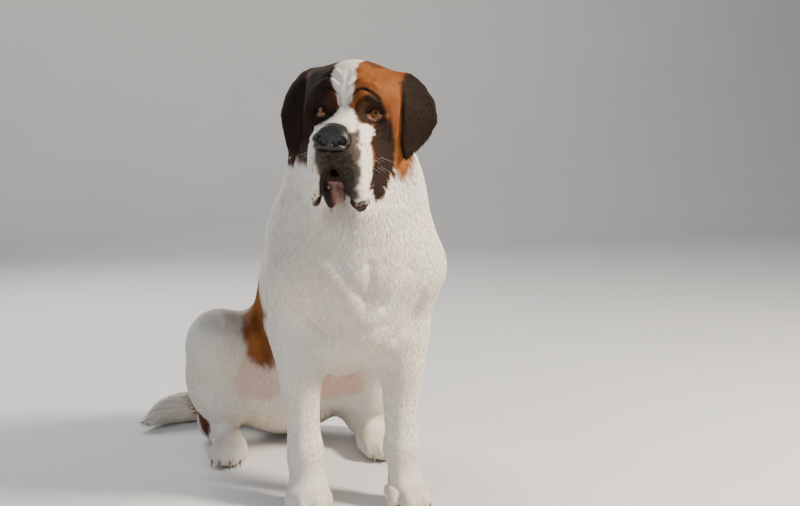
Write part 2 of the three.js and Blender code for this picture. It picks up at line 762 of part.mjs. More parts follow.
function hindLegPieces(sideName, side) {
  const low = sorted(RUMP_SWING + 60 * side, RUMP_SWING + 360 * side);
  const mesh = meshOf(dogField, [low[0] - 20, 160, -51], [low[1] + 20, 690, 450], CELL_LIMB + 4);
  const leg = ahead(solidFrom(mesh), FLOOR).intersect(region("hind", side, -GAP / 2));
  const [, toesY] = hindSpot(side, 0, 388);
  const shankCut = plane([0, toesY + 26, 215], [0, -0.55, -0.83]);
  const footCut = plane([0, toesY + 26, 100], [0, -0.2, -0.98]);
  const toeCut = plane([0, toesY, 0], [0, 1, 0]);
  addPiece(dog, sideName + "_thigh", behind(leg, shankCut), BROWN_COAT);
  const lower = ahead(leg, shankCut);
  addPiece(dog, sideName + "_shank", behind(lower, footCut), WHITE_COAT);
  addPiece(dog, sideName + "_hind_foot", ahead(ahead(lower, footCut), toeCut), WHITE_COAT);
  const home = region("hind", side, -GAP / 2);
  addPaw(sideName + "_hindpaw", home, plane([0, toesY, 0], [0, -1, 0]), footCut);
}

foreLegPieces("left", 1);
foreLegPieces("right", -1);
hindLegPieces("left", 1);
hindLegPieces("right", -1);

// The pieces of the head

const FACE_CUT = plane([0, 34, 0], [0, -1, 0]);
const faceMesh = meshOf(headWithNeck, [-125, -165, -215], [125, 60, 130], CELL_FACE);
const skullMesh = meshOf(headWithNeck, [-150, 10, -215], [150, 240, 130], CELL_SKULL);
const faceGrown = ahead(solidFrom(grown(faceMesh, headWithNeck)), FACE_CUT);
const skullGrown = behind(solidFrom(grown(skullMesh, headWithNeck)), FACE_CUT);
const neckGrown = solidFrom(grown(neckMesh, dogField)).transform(headFrame.clone().invert().toArray());
const noseMesh = meshOf(noseField, [-50, -170, -85], [50, -80, 10], CELL_NOSE);
const jawMesh = meshOf(jawField, [-90, -130, -215], [90, 90, -60], CELL_JAW);

function eyeball(side, radius) {
  const geometry = new THREE.SphereGeometry(radius, 12, 8);
  geometry.rotateX(Math.PI / 2).translate(EYE.x * side, EYE.y, EYE.z);
  return solidOfGeometry(geometry);
}

/** A closed tube of flattened, bowed rings along a smooth line: { at, wide, deep, bow }. */
function flap(stations, side, rings, around) {
  const line = new THREE.CatmullRomCurve3(stations.map((s) => vector(s.at)));
  const sizes = new THREE.CatmullRomCurve3(
    stations.map((s) => new THREE.Vector3(s.wide, s.deep, s.bow || 0)),
  );
  const points = [];
  for (let i = 0; i <= rings; i++) {
    const t = i / rings;
    const centre = line.getPoint(t);
    const tangent = line.getTangent(t);
    const u = side(t).addScaledVector(tangent, -side(t).dot(tangent)).normalize();
    const v = tangent.clone().cross(u);
    const size = sizes.getPoint(t);
    for (let j = 0; j < around; j++) {
      const angle = (j / around) * Math.PI * 2;
      const across = Math.cos(angle);
      const through = Math.sin(angle) * size.y + (0.5 - across * across) * size.z;
      points.push(centre.clone().addScaledVector(u, across * size.x).addScaledVector(v, through));
    }
  }
  const corner = (i, j) => i * around + (j % around);
  const triangles = [];
  for (let i = 0; i < rings; i++)
    for (let j = 0; j < around; j++)
      triangles.push(
        [corner(i, j), corner(i, j + 1), corner(i + 1, j)],
        [corner(i + 1, j), corner(i, j + 1), corner(i + 1, j + 1)],
      );
  for (const i of [0, rings]) {
    const middle = points.length;
    points.push(line.getPoint(i / rings));
    for (let j = 0; j < around; j++)
      triangles.push(
        i ? [corner(i, j), corner(i, j + 1), middle] : [corner(i, j + 1), corner(i, j), middle],
      );
  }
  const solid = solidFrom({ points: points.map((p) => p.toArray()), triangles });
  return solid.volume() > 0 ? solid : flip(points, triangles);
}

const flip = (points, triangles) =>
  solidFrom({ points: points.map((p) => p.toArray()), triangles: triangles.map((t) => [...t].reverse()) });

// The ears rise a little from a broad root, then fold over and hang beside the cheeks

const LEFT_EAR = [
  { at: [48, 66, 36], wide: 30, deep: 15, bow: 2 },
  { at: [84, 62, 68], wide: 32, deep: 13, bow: -5 },
  { at: [103, 58, 60], wide: 30, deep: 9, bow: -8 },
  { at: [121, 54, 31], wide: 41, deep: 7, bow: -9 },
  { at: [136, 50, -8], wide: 51, deep: 6, bow: -8 },
  { at: [125, 44, -50], wide: 41, deep: 6, bow: -6 },
  { at: [113, 38, -80], wide: 21, deep: 6, bow: -3 },
  { at: [111, 32, -101], wide: 5, deep: 4, bow: 0 },
];
const RIGHT_EAR = [
  { at: [-46, 66, 36], wide: 30, deep: 15, bow: 2 },
  { at: [-81, 62, 66], wide: 32, deep: 12, bow: -5 },
  { at: [-102, 58, 58], wide: 36, deep: 9, bow: -8 },
  { at: [-120, 54, 28], wide: 44, deep: 7, bow: -9 },
  { at: [-136, 48, -12], wide: 50, deep: 6, bow: -8 },
  { at: [-132, 42, -56], wide: 40, deep: 6, bow: -6 },
  { at: [-126, 36, -96], wide: 24, deep: 6, bow: -3 },
  { at: [-122, 30, -124], wide: 5, deep: 4, bow: 0 },
];
function ear(side, stations) {
  const turned = new THREE.Vector3(0.72 * side, 0.7, 0);
  const rooted = new THREE.Vector3(0.1 * side, 1, -0.2);
  const turn = (t) => rooted.clone().lerp(turned, THREE.MathUtils.smoothstep(t, 0.05, 0.4));
  return flap(stations, turn, 10, 10);
}

// The eyelids: rims of skin over and under each eyeball, the lower one loose and drooping

function lid(side, upper) {
  const reach = EYE.radius + 3.5;
  const heights = upper ? [-1, 5.5, 8.5, 5.5, -2] : [-1, -8.5, -13.5, -9.5, -2];
  const stations = heights.map((height, i) => {
    const angle = ((i - 2) * 38 + 16 * side) * DEGREE;
    const level = Math.sqrt(Math.max(reach * reach - height * height, 1));
    const edge = i === 0 || i === 4;
    return {
      at: [
        EYE.x * side + Math.sin(angle) * level,
        EYE.y - Math.cos(angle) * level,
        EYE.z + height,
      ],
      wide: edge ? 3 : upper ? 5.5 : 4.5,
      deep: edge ? 2.5 : 3.6,
    };
  });
  return flap(stations, () => new THREE.Vector3(0, 0, 1), 8, 6);
}

let face = ahead(ahead(solidFrom(faceMesh), FACE_CUT), NAPE_CUT);
face = face.subtract(solidFrom(grown(noseMesh, noseField)));
for (const side of [1, -1]) face = face.add(lid(side, true)).add(lid(side, false));
for (const side of [1, -1]) face = face.subtract(eyeball(side, EYE.radius + GAP));
addPiece(head, "face", face, DARK_COAT);
addPiece(head, "skull", ahead(behind(solidFrom(skullMesh), FACE_CUT), NAPE_CUT), DARK_COAT);
addPiece(head, "nose", solidFrom(noseMesh), NOSE_SKIN);
const clearOfHead = (solid) => solid.subtract(skullGrown).subtract(faceGrown).subtract(neckGrown);
addPiece(head, "left_ear", clearOfHead(ear(1, LEFT_EAR)), DARK_COAT);
addPiece(head, "right_ear", clearOfHead(ear(-1, RIGHT_EAR)), DARK_COAT);
addPiece(head, "lower_jaw", clearOfHead(ahead(solidFrom(jawMesh), NAPE_CUT)), DARK_COAT);
addPiece(head, "left_eye", eyeball(1, EYE.radius), EYE_SHINE);
addPiece(head, "right_eye", eyeball(-1, EYE.radius), EYE_SHINE);

// The origin of the whole dog: the middle of its bounding box, on the floor

dog.updateMatrixWorld(true);
const bounds = new THREE.Box3().setFromObject(dog, true);
const middle = bounds.getCenter(new THREE.Vector3());
dog.position.set(-middle.x, -middle.y, -bounds.min.z);

export default dog;
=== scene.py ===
# %% [markdown]
# A short-coated Saint Bernard, sitting
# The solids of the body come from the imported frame. This lesson dresses them: one skin over all the
# flesh, eyes, nose, claws and whiskers of their own, and a coat of short tufts that lies along the body.

# %% The frame and its box
import math

import bmesh
import bpy
import numpy as np
from mathutils import Matrix, Vector
from mathutils.bvhtree import BVHTree
from mathutils.kdtree import KDTree


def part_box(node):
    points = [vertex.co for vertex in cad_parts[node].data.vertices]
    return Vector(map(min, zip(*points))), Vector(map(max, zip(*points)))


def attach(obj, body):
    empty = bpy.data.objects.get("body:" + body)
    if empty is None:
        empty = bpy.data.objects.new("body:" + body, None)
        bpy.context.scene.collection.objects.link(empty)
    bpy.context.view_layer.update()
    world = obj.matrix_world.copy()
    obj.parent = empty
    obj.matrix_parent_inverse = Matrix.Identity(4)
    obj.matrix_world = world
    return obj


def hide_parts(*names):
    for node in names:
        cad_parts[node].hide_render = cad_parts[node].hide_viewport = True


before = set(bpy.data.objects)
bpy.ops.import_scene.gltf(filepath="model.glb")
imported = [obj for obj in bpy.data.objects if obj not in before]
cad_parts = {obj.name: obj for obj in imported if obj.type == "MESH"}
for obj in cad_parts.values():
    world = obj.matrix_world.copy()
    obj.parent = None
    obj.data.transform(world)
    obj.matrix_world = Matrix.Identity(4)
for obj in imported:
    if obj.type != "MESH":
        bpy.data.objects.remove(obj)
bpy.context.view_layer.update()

MM = 0.001
random_draw = np.random.default_rng(11)

# %% [markdown]
# The head has its own frame, as a sculptor would clamp it in a vice: the origin lies midway between
# the eyes, -Y runs out along the nose, +X is the dog's left and +Z the crown. The turn, nod and roll
# are the pose, and the eyeballs of the frame say where that origin is.

# %% The head's frame
HEAD_TURN = -30
HEAD_NOD = 8
HEAD_ROLL = 3
EYE_SIDE = 53
EYE_BACK = 6
EYE_RADIUS = 13 * MM


def middle_of(node):
    low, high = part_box(node)
    return (low + high) / 2


head_turn = (
    Matrix.Rotation(math.radians(HEAD_TURN), 3, "Z")
    @ Matrix.Rotation(math.radians(HEAD_NOD), 3, "X")
    @ Matrix.Rotation(math.radians(HEAD_ROLL), 3, "Y")
)
between_eyes = (middle_of("left_eye") + middle_of("right_eye")) / 2
head_origin = between_eyes - head_turn @ Vector((0, EYE_BACK * MM, 0))
HEAD_IN_BODY = Vector((-47, -108, 850)) * MM
shift = head_origin - HEAD_IN_BODY
turn_array = np.array(head_turn)


def to_head(points):
    """Points of the model, in the head's frame and in millimetres."""
    return (points - np.array(head_origin)) @ turn_array / MM


def from_head(x, y, z):
    """A place of the head's frame, given in millimetres."""
    return head_origin + head_turn @ Vector((x * MM, y * MM, z * MM))


def from_body(x, y, z):
    """A place of the body's own frame, given in millimetres."""
    return shift + Vector((x, y, z)) * MM


print("body shift in mm", [round(v / MM, 1) for v in shift])

# %% Small helpers for meshes


def place_piece(name, mesh, material=None):
    """A new smooth-shaded object with this mesh."""
    piece = bpy.data.objects.new(name, mesh)
    bpy.context.scene.collection.objects.link(piece)
    if material:
        mesh.materials.append(material)
    mesh.shade_smooth()
    return piece


def new_piece(name, vertices, faces, material=None):
    mesh = bpy.data.meshes.new(name)
    mesh.from_pydata([tuple(v) for v in vertices], [], faces)
    mesh.update()
    return place_piece(name, mesh, material)


def settle(shape, name, material=None):
    """A new object with the shape of a bmesh, which is freed."""
    mesh = bpy.data.meshes.new(name)
    shape.to_mesh(mesh)
    shape.free()
    return place_piece(name, mesh, material)


def welded(name):
    """A bmesh of one of the frame's pieces, with its doubled corners joined."""
    shape = bmesh.new()
    shape.from_mesh(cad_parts[name].data)
    bmesh.ops.remove_doubles(shape, verts=shape.verts, dist=1e-6)
    return shape


def places(mesh):
    flat = np.empty(len(mesh.vertices) * 3)
    mesh.vertices.foreach_get("co", flat)
    return flat.reshape(-1, 3)


def set_places(mesh, points):
    mesh.vertices.foreach_set("co", np.ascontiguousarray(points).ravel())
    mesh.update()


def lift_to(mesh, points, lowest):
    """Sets a mesh's places, with none below a height."""
    points[:, 2] = np.maximum(points[:, 2], lowest)
    set_places(mesh, points)


def normals(mesh):
    flat = np.empty(len(mesh.vertices) * 3)
    mesh.vertex_normals.foreach_get("vector", flat)
    return flat.reshape(-1, 3)


def edges(mesh):
    flat = np.empty(len(mesh.edges) * 2, dtype=np.int32)
    mesh.edges.foreach_get("vertices", flat)
    return flat.reshape(-1, 2)


def spread(values, pairs, rounds, strength=0.5):
    """Evens values out over a mesh; strength says how much, from 0 to 1, in all or at each vertex."""
    count = len(values)
    strength = np.broadcast_to(strength, count)[:, None]
    a, b = pairs.T
    neighbours = np.bincount(a, minlength=count) + np.bincount(b, minlength=count)
    neighbours = np.maximum(neighbours, 1)[:, None]
    table = values.reshape(count, -1).copy()
    for _ in range(rounds):
        total = np.stack(
            [
                np.bincount(a, weights=table[b, k], minlength=count)
                + np.bincount(b, weights=table[a, k], minlength=count)
                for k in range(table.shape[1])
            ],
            axis=1,
        )
        table += strength * (total / neighbours - table)
    return table.reshape(values.shape)


def apply_modifiers(piece):
    """The piece with its modifiers made real."""
    shown = piece.evaluated_get(bpy.context.evaluated_depsgraph_get())
    mesh = bpy.data.meshes.new_from_object(shown)
    old = piece.data
    piece.modifiers.clear()
    piece.data = mesh
    bpy.data.meshes.remove(old)


def step(x, low, high):
    """0 below low, 1 above high, and an even curve between."""
    t = np.clip((x - low) / (high - low), 0, 1)
    return t * t * (3 - 2 * t)


# %% [markdown]
# One skin hides every joint of the solids. The frame's pieces are grown by half a millimetre so that
# they overlap, then melted into one surface by a voxel remesh, as clay pieces are pressed together.
# The facets of the solids are evened out more on the trunk than on the face, where form matters.

# %% Join the flesh of the frame
SEAM = 0.5 * MM
JOIN_VOXEL = 4 * MM
SEPARATE = ("nose", "left_eye", "right_eye")
flesh_nodes = sorted(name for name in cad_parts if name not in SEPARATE)

joined = bmesh.new()
for name in flesh_nodes:
    part = welded(name)
    part.normal_update()
    for vertex in part.verts:
        vertex.co += vertex.normal * SEAM
    grown = bpy.data.meshes.new("grown")
    part.to_mesh(grown)
    part.free()
    joined.from_mesh(grown)
    bpy.data.meshes.remove(grown)
skin = settle(joined, "skin")


def remesh(piece, voxel):
    modifier = piece.modifiers.new("Remesh", "REMESH")
    modifier.mode = "VOXEL"
    modifier.voxel_size = voxel
    modifier.use_smooth_shade = True
    apply_modifiers(piece)


remesh(skin, JOIN_VOXEL)
print("joined skin", len(skin.data.vertices), "vertices")

# %% Which part of the body each point belongs to
node_tree = KDTree(sum(len(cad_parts[name].data.vertices) for name in flesh_nodes))
number_at = []
for number, name in enumerate(flesh_nodes):
    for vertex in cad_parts[name].data.vertices:
        node_tree.insert(vertex.co, len(number_at))
        number_at.append(number)
node_tree.balance()
part_names = np.array(flesh_nodes)


def parts_at(points):
    """The number of the nearest part at each point."""
    return np.array([number_at[node_tree.find(p)[1]] for p in points])


def belongs(parts, *endings):
    """True where a point's part has a name with one of these endings."""
    chosen = np.array([name.endswith(endings) for name in flesh_nodes])
    return chosen[parts]


def by_part(parts, table, default):
    """A number for each point, looked up by the end of its part's name."""
    values = np.full(len(flesh_nodes), float(default))
    for ending, value in table.items():
        values[np.char.endswith(part_names, ending)] = value
    return values[parts]


# %% [markdown]
# The solids leave a slit where the left foreleg meets the trunk. The skin there is moved out, remeshed
# so that the slit's two sides melt together, and moved back by the same amount.

# %% Close the slit between the left foreleg and the trunk
CLOSING = 7 * MM
CLOSED_PARTS = {"left_shoulder": 1, "left_foreleg": 1, "chest": 1, "belly": 1}
FADE_ROUNDS = 12


def move_surface(distance):
    """Moves the chosen parts of the skin along its normals, fading out at their edges."""
    points = places(skin.data)
    weight = by_part(parts_at(points), CLOSED_PARTS, 0)
    weight = spread(weight, edges(skin.data), FADE_ROUNDS)[:, None]
    set_places(skin.data, points + normals(skin.data) * weight * distance)


move_surface(CLOSING)
remesh(skin, JOIN_VOXEL)
move_surface(-CLOSING)
print("closed skin", len(skin.data.vertices), "vertices")

# %% Even out the facets and draw the skin in by the depth of the coat
SMOOTH_SHARE = {"face": 0.16, "skull": 0.4, "ear": 0.12, "jaw": 0.15, "forepaw": 0.2, "hindpaw": 0.2}
COAT_DEPTH = {
    "face": 1.2, "skull": 2.5, "ear": 0.8, "jaw": 0.8, "neck": 4, "chest": 4, "belly": 4, "rump": 4,
    "shoulder": 3, "foreleg": 1.8, "forepaw": 1, "hindpaw": 1, "hind_foot": 1.5, "shank": 2.5,
    "thigh": 3.5, "tail_root": 4, "tail_end": 5,
}
SMOOTH_ROUNDS = 44
SKIN_FLOOR = 1.0 * MM

points = places(skin.data)
parts = parts_at(points)
pairs = edges(skin.data)
share = by_part(parts, SMOOTH_SHARE, 0.5)
share = spread(share, pairs, FADE_ROUNDS)
points = spread(points, pairs, SMOOTH_ROUNDS, share)
set_places(skin.data, points)
depth = by_part(parts, COAT_DEPTH, 3) * MM
depth = spread(depth, pairs, FADE_ROUNDS)
points = points - normals(skin.data) * depth[:, None]
lift_to(skin.data, points, SKIN_FLOOR)
print("skin drawn in by up to", round(depth.max() / MM, 1), "mm")

# %% [markdown]
# The lids, the folds of the brow, the rolled rims of the lips and the toes are too fine for the
# solids. They are added the way a sculptor adds rolls of clay: tapered rolls along smooth lines are
# laid on the skin, and a second, finer remesh melts them in.

# %% Rolls of clay along smooth lines
clay = bmesh.new()


def smooth_line(points, count):
    """A Catmull-Rom line through the points, as an array."""
    p = np.array([points[0], *points, points[-1]], float)
    t = np.linspace(0, len(points) - 1 - 1e-6, count)
    i = t.astype(int)
    f = (t - i)[:, None]
    a, b, c, d = p[i], p[i + 1], p[i + 2], p[i + 3]
    square = (2 * a - 5 * b + 4 * c - d) * f**2
    cube = (3 * b - a - 3 * c + d) * f**3
    return 0.5 * (2 * b + (c - a) * f + square + cube)


def tube(shape, line, radii, sides=8):
    """A closed round tube along a line, with its own radius at each point."""
    line = np.asarray(line, float)
    tangents = np.gradient(line, axis=0)
    tangents /= np.linalg.norm(tangents, axis=1)[:, None]
    up = np.array([0.3, 0.2, 1.0])
    rings = []
    for centre, tangent, radius in zip(line, tangents, radii):
        u = np.cross(tangent, up)
        u /= np.linalg.norm(u)
        v = np.cross(tangent, u)
        angles = np.arange(sides) * 2 * math.pi / sides
        ring = [centre + radius * (math.cos(a) * u + math.sin(a) * v) for a in angles]
        rings.append([shape.verts.new(corner) for corner in ring])
    for one, two in zip(rings, rings[1:]):
        for j in range(sides):
            k = (j + 1) % sides
            shape.faces.new((one[j], one[k], two[k], two[j]))
    shape.faces.new(rings[0][::-1])
    shape.faces.new(rings[-1])


# %% Where the face lies under a place seen from the front
rough_face = BVHTree.FromPolygons(
    [v.co for v in skin.data.vertices], [list(p.vertices) for p in skin.data.polygons]
)
inwards = head_turn @ Vector((0, 1, 0))
BEFORE_NOSE = -260


def on_face(x, z, sunk):
    """The place of the face at x and z of the head's frame, sunk by some millimetres."""
    hit = rough_face.ray_cast(from_head(x, BEFORE_NOSE, z), inwards)[0]
    return hit + inwards * sunk * MM


def head_roll(line, thick, count=14):
    """A roll of clay through places of the model, thickest in its middle."""
    thickness = 0.35 + 0.65 * np.sin(math.pi * np.linspace(0, 1, count)) ** 0.6
    tube(clay, smooth_line(line, count), thick * MM * thickness)


# %% Brow folds, the pouch under each eye and the lips
BROW_FOLDS = (
    ([(10, 12), (19, 29), (35, 37), (54, 33), (70, 18)], 7.5),
    ([(13, 50), (29, 61), (47, 58), (64, 44)], 6.5),
    ([(12, 70), (28, 78), (46, 72)], 5),
    ([(33, -14), (42, -27), (56, -33), (70, -27), (80, -12)], 5),
    ([(38, -34), (50, -44), (66, -44), (80, -30)], 4.5),
)
LIP_RIM = [
    (1, -123, -90), (8, -121, -93), (15, -118, -102),
    (20, -114, -115), (22, -110, -130), (26, -103, -150),
]
LIP_ROLL = [(30, -99, -158), (42, -88, -172), (53, -62, -164), (58, -34, -142)]
CHIN = [(1, -92, -126), (3, -92, -148), (5, -82, -166)]
RIGHT_LOWER_LIP = [(-16, -104, -138), (-12, -100, -156), (-8, -92, -176)]
LEFT_LOWER_LIP = [(36, -84, -164), (46, -70, -177), (54, -50, -177)]

for side in (1, -1):
    for fold, thick in BROW_FOLDS:
        head_roll([on_face(x * side, z, thick * 0.35) for x, z in fold], thick)
    for line, thick in ((LIP_RIM, 4.2), (LIP_ROLL, 7)):
        head_roll([from_head(x * side, y, z) for x, y, z in line], thick)
for line, thick in ((CHIN, 16), (RIGHT_LOWER_LIP, 10.5), (LEFT_LOWER_LIP, 11.5)):
    head_roll([from_head(*p) for p in line], thick)
print("clay rolls", len(clay.faces), "faces")

# %% Toes of the four paws
TOES = ((-34, 34, 17), (-13, 56, 19), (13, 56, 19), (34, 34, 17))
TOE_BULGE = np.array([0.86, 0.9, 0.93, 0.96, 1.0, 1.02, 1.0, 0.94, 0.8])
TOE_DEPTH = 1.5
STANDS = {
    "left_forepaw": (85, -56, 6, 1.0),
    "right_forepaw": (-115, -8, -12, 1.0),
    "left_hindpaw": (125, 296, 14, 0.94),
    "right_hindpaw": (-223, 364, -20, 0.94),
}


def on_paw(stand, across, ahead, up):
    """A point of a paw, from its own across, ahead and up, in millimetres."""
    x, y, turn, size = stand
    c, s = math.cos(math.radians(turn)), math.sin(math.radians(turn))
    a, b = across * size, -ahead * size
    return from_body(x + a * c - b * s, y + a * s + b * c, up * size)


for stand in STANDS.values():
    for across, ahead, radius in TOES:
        toe = [(across * 0.8, ahead - 44, 42), (across, ahead - 6, 37), (across * 1.05, ahead + 9, 20)]
        line = [on_paw(stand, *p) for p in smooth_line(toe, len(TOE_BULGE))]
        tube(clay, line, (radius - TOE_DEPTH) * stand[3] * MM * TOE_BULGE, 12)

# %% The finer remesh
FINE_VOXEL = 2.3 * MM
body = bmesh.new()
body.from_mesh(skin.data)
extra = bpy.data.meshes.new("clay")
bmesh.ops.recalc_face_normals(clay, faces=clay.faces)
clay.to_mesh(extra)
clay.free()
body.from_mesh(extra)
bpy.data.meshes.remove(extra)
body.to_mesh(skin.data)
body.free()
remesh(skin, FINE_VOXEL)

points = places(skin.data)
pairs = edges(skin.data)
parts = parts_at(points)
points = spread(points, pairs, 4)
set_places(skin.data, points)
print("fine skin", len(skin.data.vertices), "vertices")

# %% [markdown]
# Wrinkles and grooves are pressed in afterwards, along the skin's normals. Each groove is a line of
# the head's frame with a width and a depth, so it can be moved by its named place. The body gets the
# soft relief that shows through a short coat: the breastbone's hollow, the elbow and the shoulder.

# %% Press grooves and raise soft forms


def away_from_line(points, line):
    """The distance of each point from a line of close-set points."""
    best = np.full(len(points), 1e9)
    for a, b in zip(line[:-1], line[1:]):
        along = b - a
        t = np.clip(((points - a) @ along) / max(along @ along, 1e-12), 0, 1)
        best = np.minimum(best, np.linalg.norm(points - a - t[:, None] * along, axis=1))
    return best


head_points = to_head(points)
head_normals = normals(skin.data) @ turn_array
of_face = (np.abs(head_points[:, 0]) < 122) & (head_points[:, 1] < 45) & (np.abs(head_points[:, 2]) < 200)
faces_front = np.flatnonzero(of_face & (head_normals[:, 1] < -0.2))
push = np.zeros(len(points))


def press(places_mm, chosen, line, width, depth_mm, count):
    """Presses a line of x and z into the chosen points."""
    away = away_from_line(places_mm[chosen][:, [0, 2]], smooth_line(line, count))
    push[chosen] -= depth_mm * np.exp(-((away / width) ** 2))


def groove(line, width, depth_mm, count=18):
    """A groove seen from the front, through x and z of the head."""
    press(head_points, faces_front, line, width, depth_mm, count)


BROW_ARCH = [(7, 18), (12, 38), (31, 49), (50, 42), (64, 28)]
GROOVES = (
    (BROW_ARCH, 3.2, 3.6),
    ([(10, 58), (28, 69), (48, 64)], 3.6, 2.2),
    ([(24, 4), (22, 18), (30, 26), (44, 27)], 2.6, 1.8),
    ([(34, -22), (46, -34), (62, -37), (78, -26)], 2.6, 2.4),
    ([(42, -42), (54, -52), (70, -50)], 3, 1.6),
    ([(62, -40), (68, -70), (68, -110)], 3.4, 2),
    ([(80, 10), (84, -20), (78, -60)], 3.4, 1.8),
    ([(36, -78), (44, -96), (46, -122)], 4, 1.4),
)
for side in (1, -1):
    for line, width, deep in GROOVES:
        groove([(x * side, z) for x, z in line], width, deep)
groove([(1, 12), (1, 44), (0, 76)], 6, 1.5)
groove([(0, -60), (0, -88)], 2.6, 2.8)

EAR_EDGES = {
    1: [(97, 56), (102, 20), (103, -20), (100, -55), (104, -92)],
    -1: [(-97, 52), (-100, 10), (-101, -30), (-104, -70), (-112, -104)],
}
for line in EAR_EDGES.values():
    groove(line, 3.4, 5.5)


def swell(centre, radius, height_mm):
    """Raises the skin round a place of the body; a negative height is a hollow."""
    away = np.linalg.norm(points - np.array(from_body(*centre)), axis=1) / MM
    push[:] += height_mm * np.exp(-((away / radius) ** 2))


CHEST_SWELLS = (
    ((-10, -120, 462), 36, -9),
    ((50, -105, 500), 46, 7),
    ((-60, -100, 500), 46, 7),
    ((-4, -118, 568), 32, -5),
)
for centre, radius, height_mm in CHEST_SWELLS:
    swell(centre, radius, height_mm)

body_points = (points - np.array(shift)) / MM
height = body_points[:, 2]
chest_front = np.flatnonzero((body_points[:, 1] < -30) & (height > 330) & (height < 640))
CHEST_CREASES = (
    ([(-84, 556), (-54, 508), (-22, 468)], 11, 5),
    ([(-14, 548), (-12, 505), (-18, 474)], 9, 4),
    ([(74, 530), (52, 486), (26, 452)], 12, 4.5),
    ([(-60, 430), (-20, 404), (30, 410)], 14, 3.5),
    ([(112, 470), (100, 410), (70, 372)], 12, 5),
    ([(-122, 470), (-108, 410), (-84, 372)], 12, 5),
)
for line, width, deep in CHEST_CREASES:
    press(body_points, chest_front, line, width, deep, 14)
for side in (1, -1):
    swell((118 * side - 4, 66 - 24 * side, 372), 30, 5)
    swell((112 * side - 4, -50 - 24 * side, 410), 30, -5)
    swell((112 * side - 8, -36 - 24 * side, 122), 16, 2)

points = points + normals(skin.data) * (push * MM)[:, None]
lift_to(skin.data, points, SKIN_FLOOR)
print("deepest groove", round(push.min(), 1), "mm")

# %% [markdown]
# The lids are a thin dome over the eyeball with an almond cut in it. Each point near an eye is moved
# along the line from the eyeball's middle: onto the dome around the almond, and down inside the
# eyeball within it. The lower edge hangs lowest near its middle and shows the red of the inner lid.

# %% Open the lids over the eyes
GAZE_OUT = 8
UPPER_LID = [(-13.5, -4), (-9, 3), (-1, 6.4), (7, 4), (13.5, -4)]
LOWER_LID = [(-13.5, -4), (-8, -10), (0, -13.6), (8, -11), (13.5, -4)]
LID_RADIUS = 14.7
UNDER_BALL = 9.5
HAW_WIDTH = 3.6
HAW_RADIUS = 14.0
EYE_CORNER = 13.5
CORNER_UP = -4
EDGE_WIDTH = 1.3
EYE_REACH = 25


def around_eye(h, side):
    """Of each point: its offset and distance from the eyeball's middle, how far it lies below the
    upper lid and above the lower one, and how far inside the opening."""
    turn = math.radians(GAZE_OUT)
    gaze = np.array([math.sin(turn) * side, -math.cos(turn), 0])
    out = np.array([math.cos(turn) * side, math.sin(turn), 0])
    offset = h - np.array([EYE_SIDE * side, EYE_BACK, 0])
    radius = np.linalg.norm(offset, axis=1) + 1e-6
    front = offset @ gaze / radius
    across = offset @ out / radius * LID_RADIUS
    up = offset[:, 2] / radius * LID_RADIUS
    upper = smooth_line(UPPER_LID, 40)
    lower = smooth_line(LOWER_LID, 40)
    to_upper = np.interp(across, upper[:, 0], upper[:, 1]) - up
    to_lower = up - np.interp(across, lower[:, 0], lower[:, 1])
    inside = np.minimum(to_upper, to_lower)
    beyond = np.abs(across) - EYE_CORNER
    inside = np.where(beyond > 0, -np.hypot(np.maximum(beyond, 0), np.abs(up - CORNER_UP)), inside)
    inside = np.where((radius < EYE_REACH) & (front > 0.1), inside, -99)
    return offset, radius, to_upper, to_lower, inside


head_points = to_head(points)
for side in (1, -1):
    offset, radius, to_upper, to_lower, inside = around_eye(head_points, side)
    edge = np.abs(inside) < EDGE_WIDTH
    lift = np.where(to_upper < to_lower, to_upper, -to_lower)
    dome = offset / radius[:, None] * LID_RADIUS
    dome[:, 2] += np.where(edge, lift, 0)
    close = 1 - step(radius, 18, EYE_REACH)
    hug = np.exp(-((np.minimum(inside, 0) / 6.5) ** 2)) * close
    level = radius + hug * (LID_RADIUS - radius)
    level += close * 1.3 * np.exp(-(((inside + 2.6) / 1.7) ** 2))
    level -= close * 1.8 * np.exp(-(((inside + 6.5) / 1.8) ** 2))
    level = np.where(edge, LID_RADIUS, level)
    level = np.where(inside >= EDGE_WIDTH, UNDER_BALL, level)
    shelf = (to_lower > 0.6) & (to_lower < HAW_WIDTH) & (to_upper > 2) & (inside > -1)
    level = np.where(shelf, HAW_RADIUS, level)
    unit = dome / np.linalg.norm(dome, axis=1)[:, None]
    moved = np.array([EYE_SIDE * side, EYE_BACK, 0]) + unit * level[:, None]
    near = inside > -14
    head_points[near] = moved[near]
points = np.array(head_origin) + head_points @ turn_array.T * MM
set_places(skin.data, points)

# %% [markdown]
# The markings are worked out once, at every point of the skin, as soft-edged patches in the frames
# of the head and the body, with a wobble so that no edge is a clean curve. Skin and tufts both read
# them, so the coat shows the same pattern. Brown, dark, bare pink and grey are four shares. The grey
# share also holds a painted shade under the throat, and the dark share a painted shade in the mouth.

# %% A smooth three-dimensional noise
NOISE_TABLE = random_draw.random((32, 32, 32))


def noise(p, scale):
    """Smooth noise from -1 to 1; scale is the size of a blotch, in the units of p."""
    q = p / scale
    i = np.floor(q).astype(int)
    f = q - i
    f = f * f * (3 - 2 * f)
    total = 0
    for corner in range(8):
        bits = np.array([corner & 1, (corner >> 1) & 1, (corner >> 2) & 1])
        weight = np.prod(np.where(bits, f, 1 - f), axis=1)
        k = (i + bits) % 32
        total = total + weight * NOISE_TABLE[k[:, 0], k[:, 1], k[:, 2]]
    return total * 2 - 1


def patch(p, centre, radii, soft=0.12, wobble=0.14, scale=22):
    """A soft ellipsoid patch: 1 inside, 0 outside, with a wobbling edge."""
    away = np.linalg.norm((p - np.array(centre)) / np.array(radii), axis=1)
    away = away + wobble * noise(p, scale) + wobble * 0.5 * noise(p + 40, scale / 3)
    return 1 - step(away, 1 - soft, 1 + soft)


# %% Markings of the head and the body


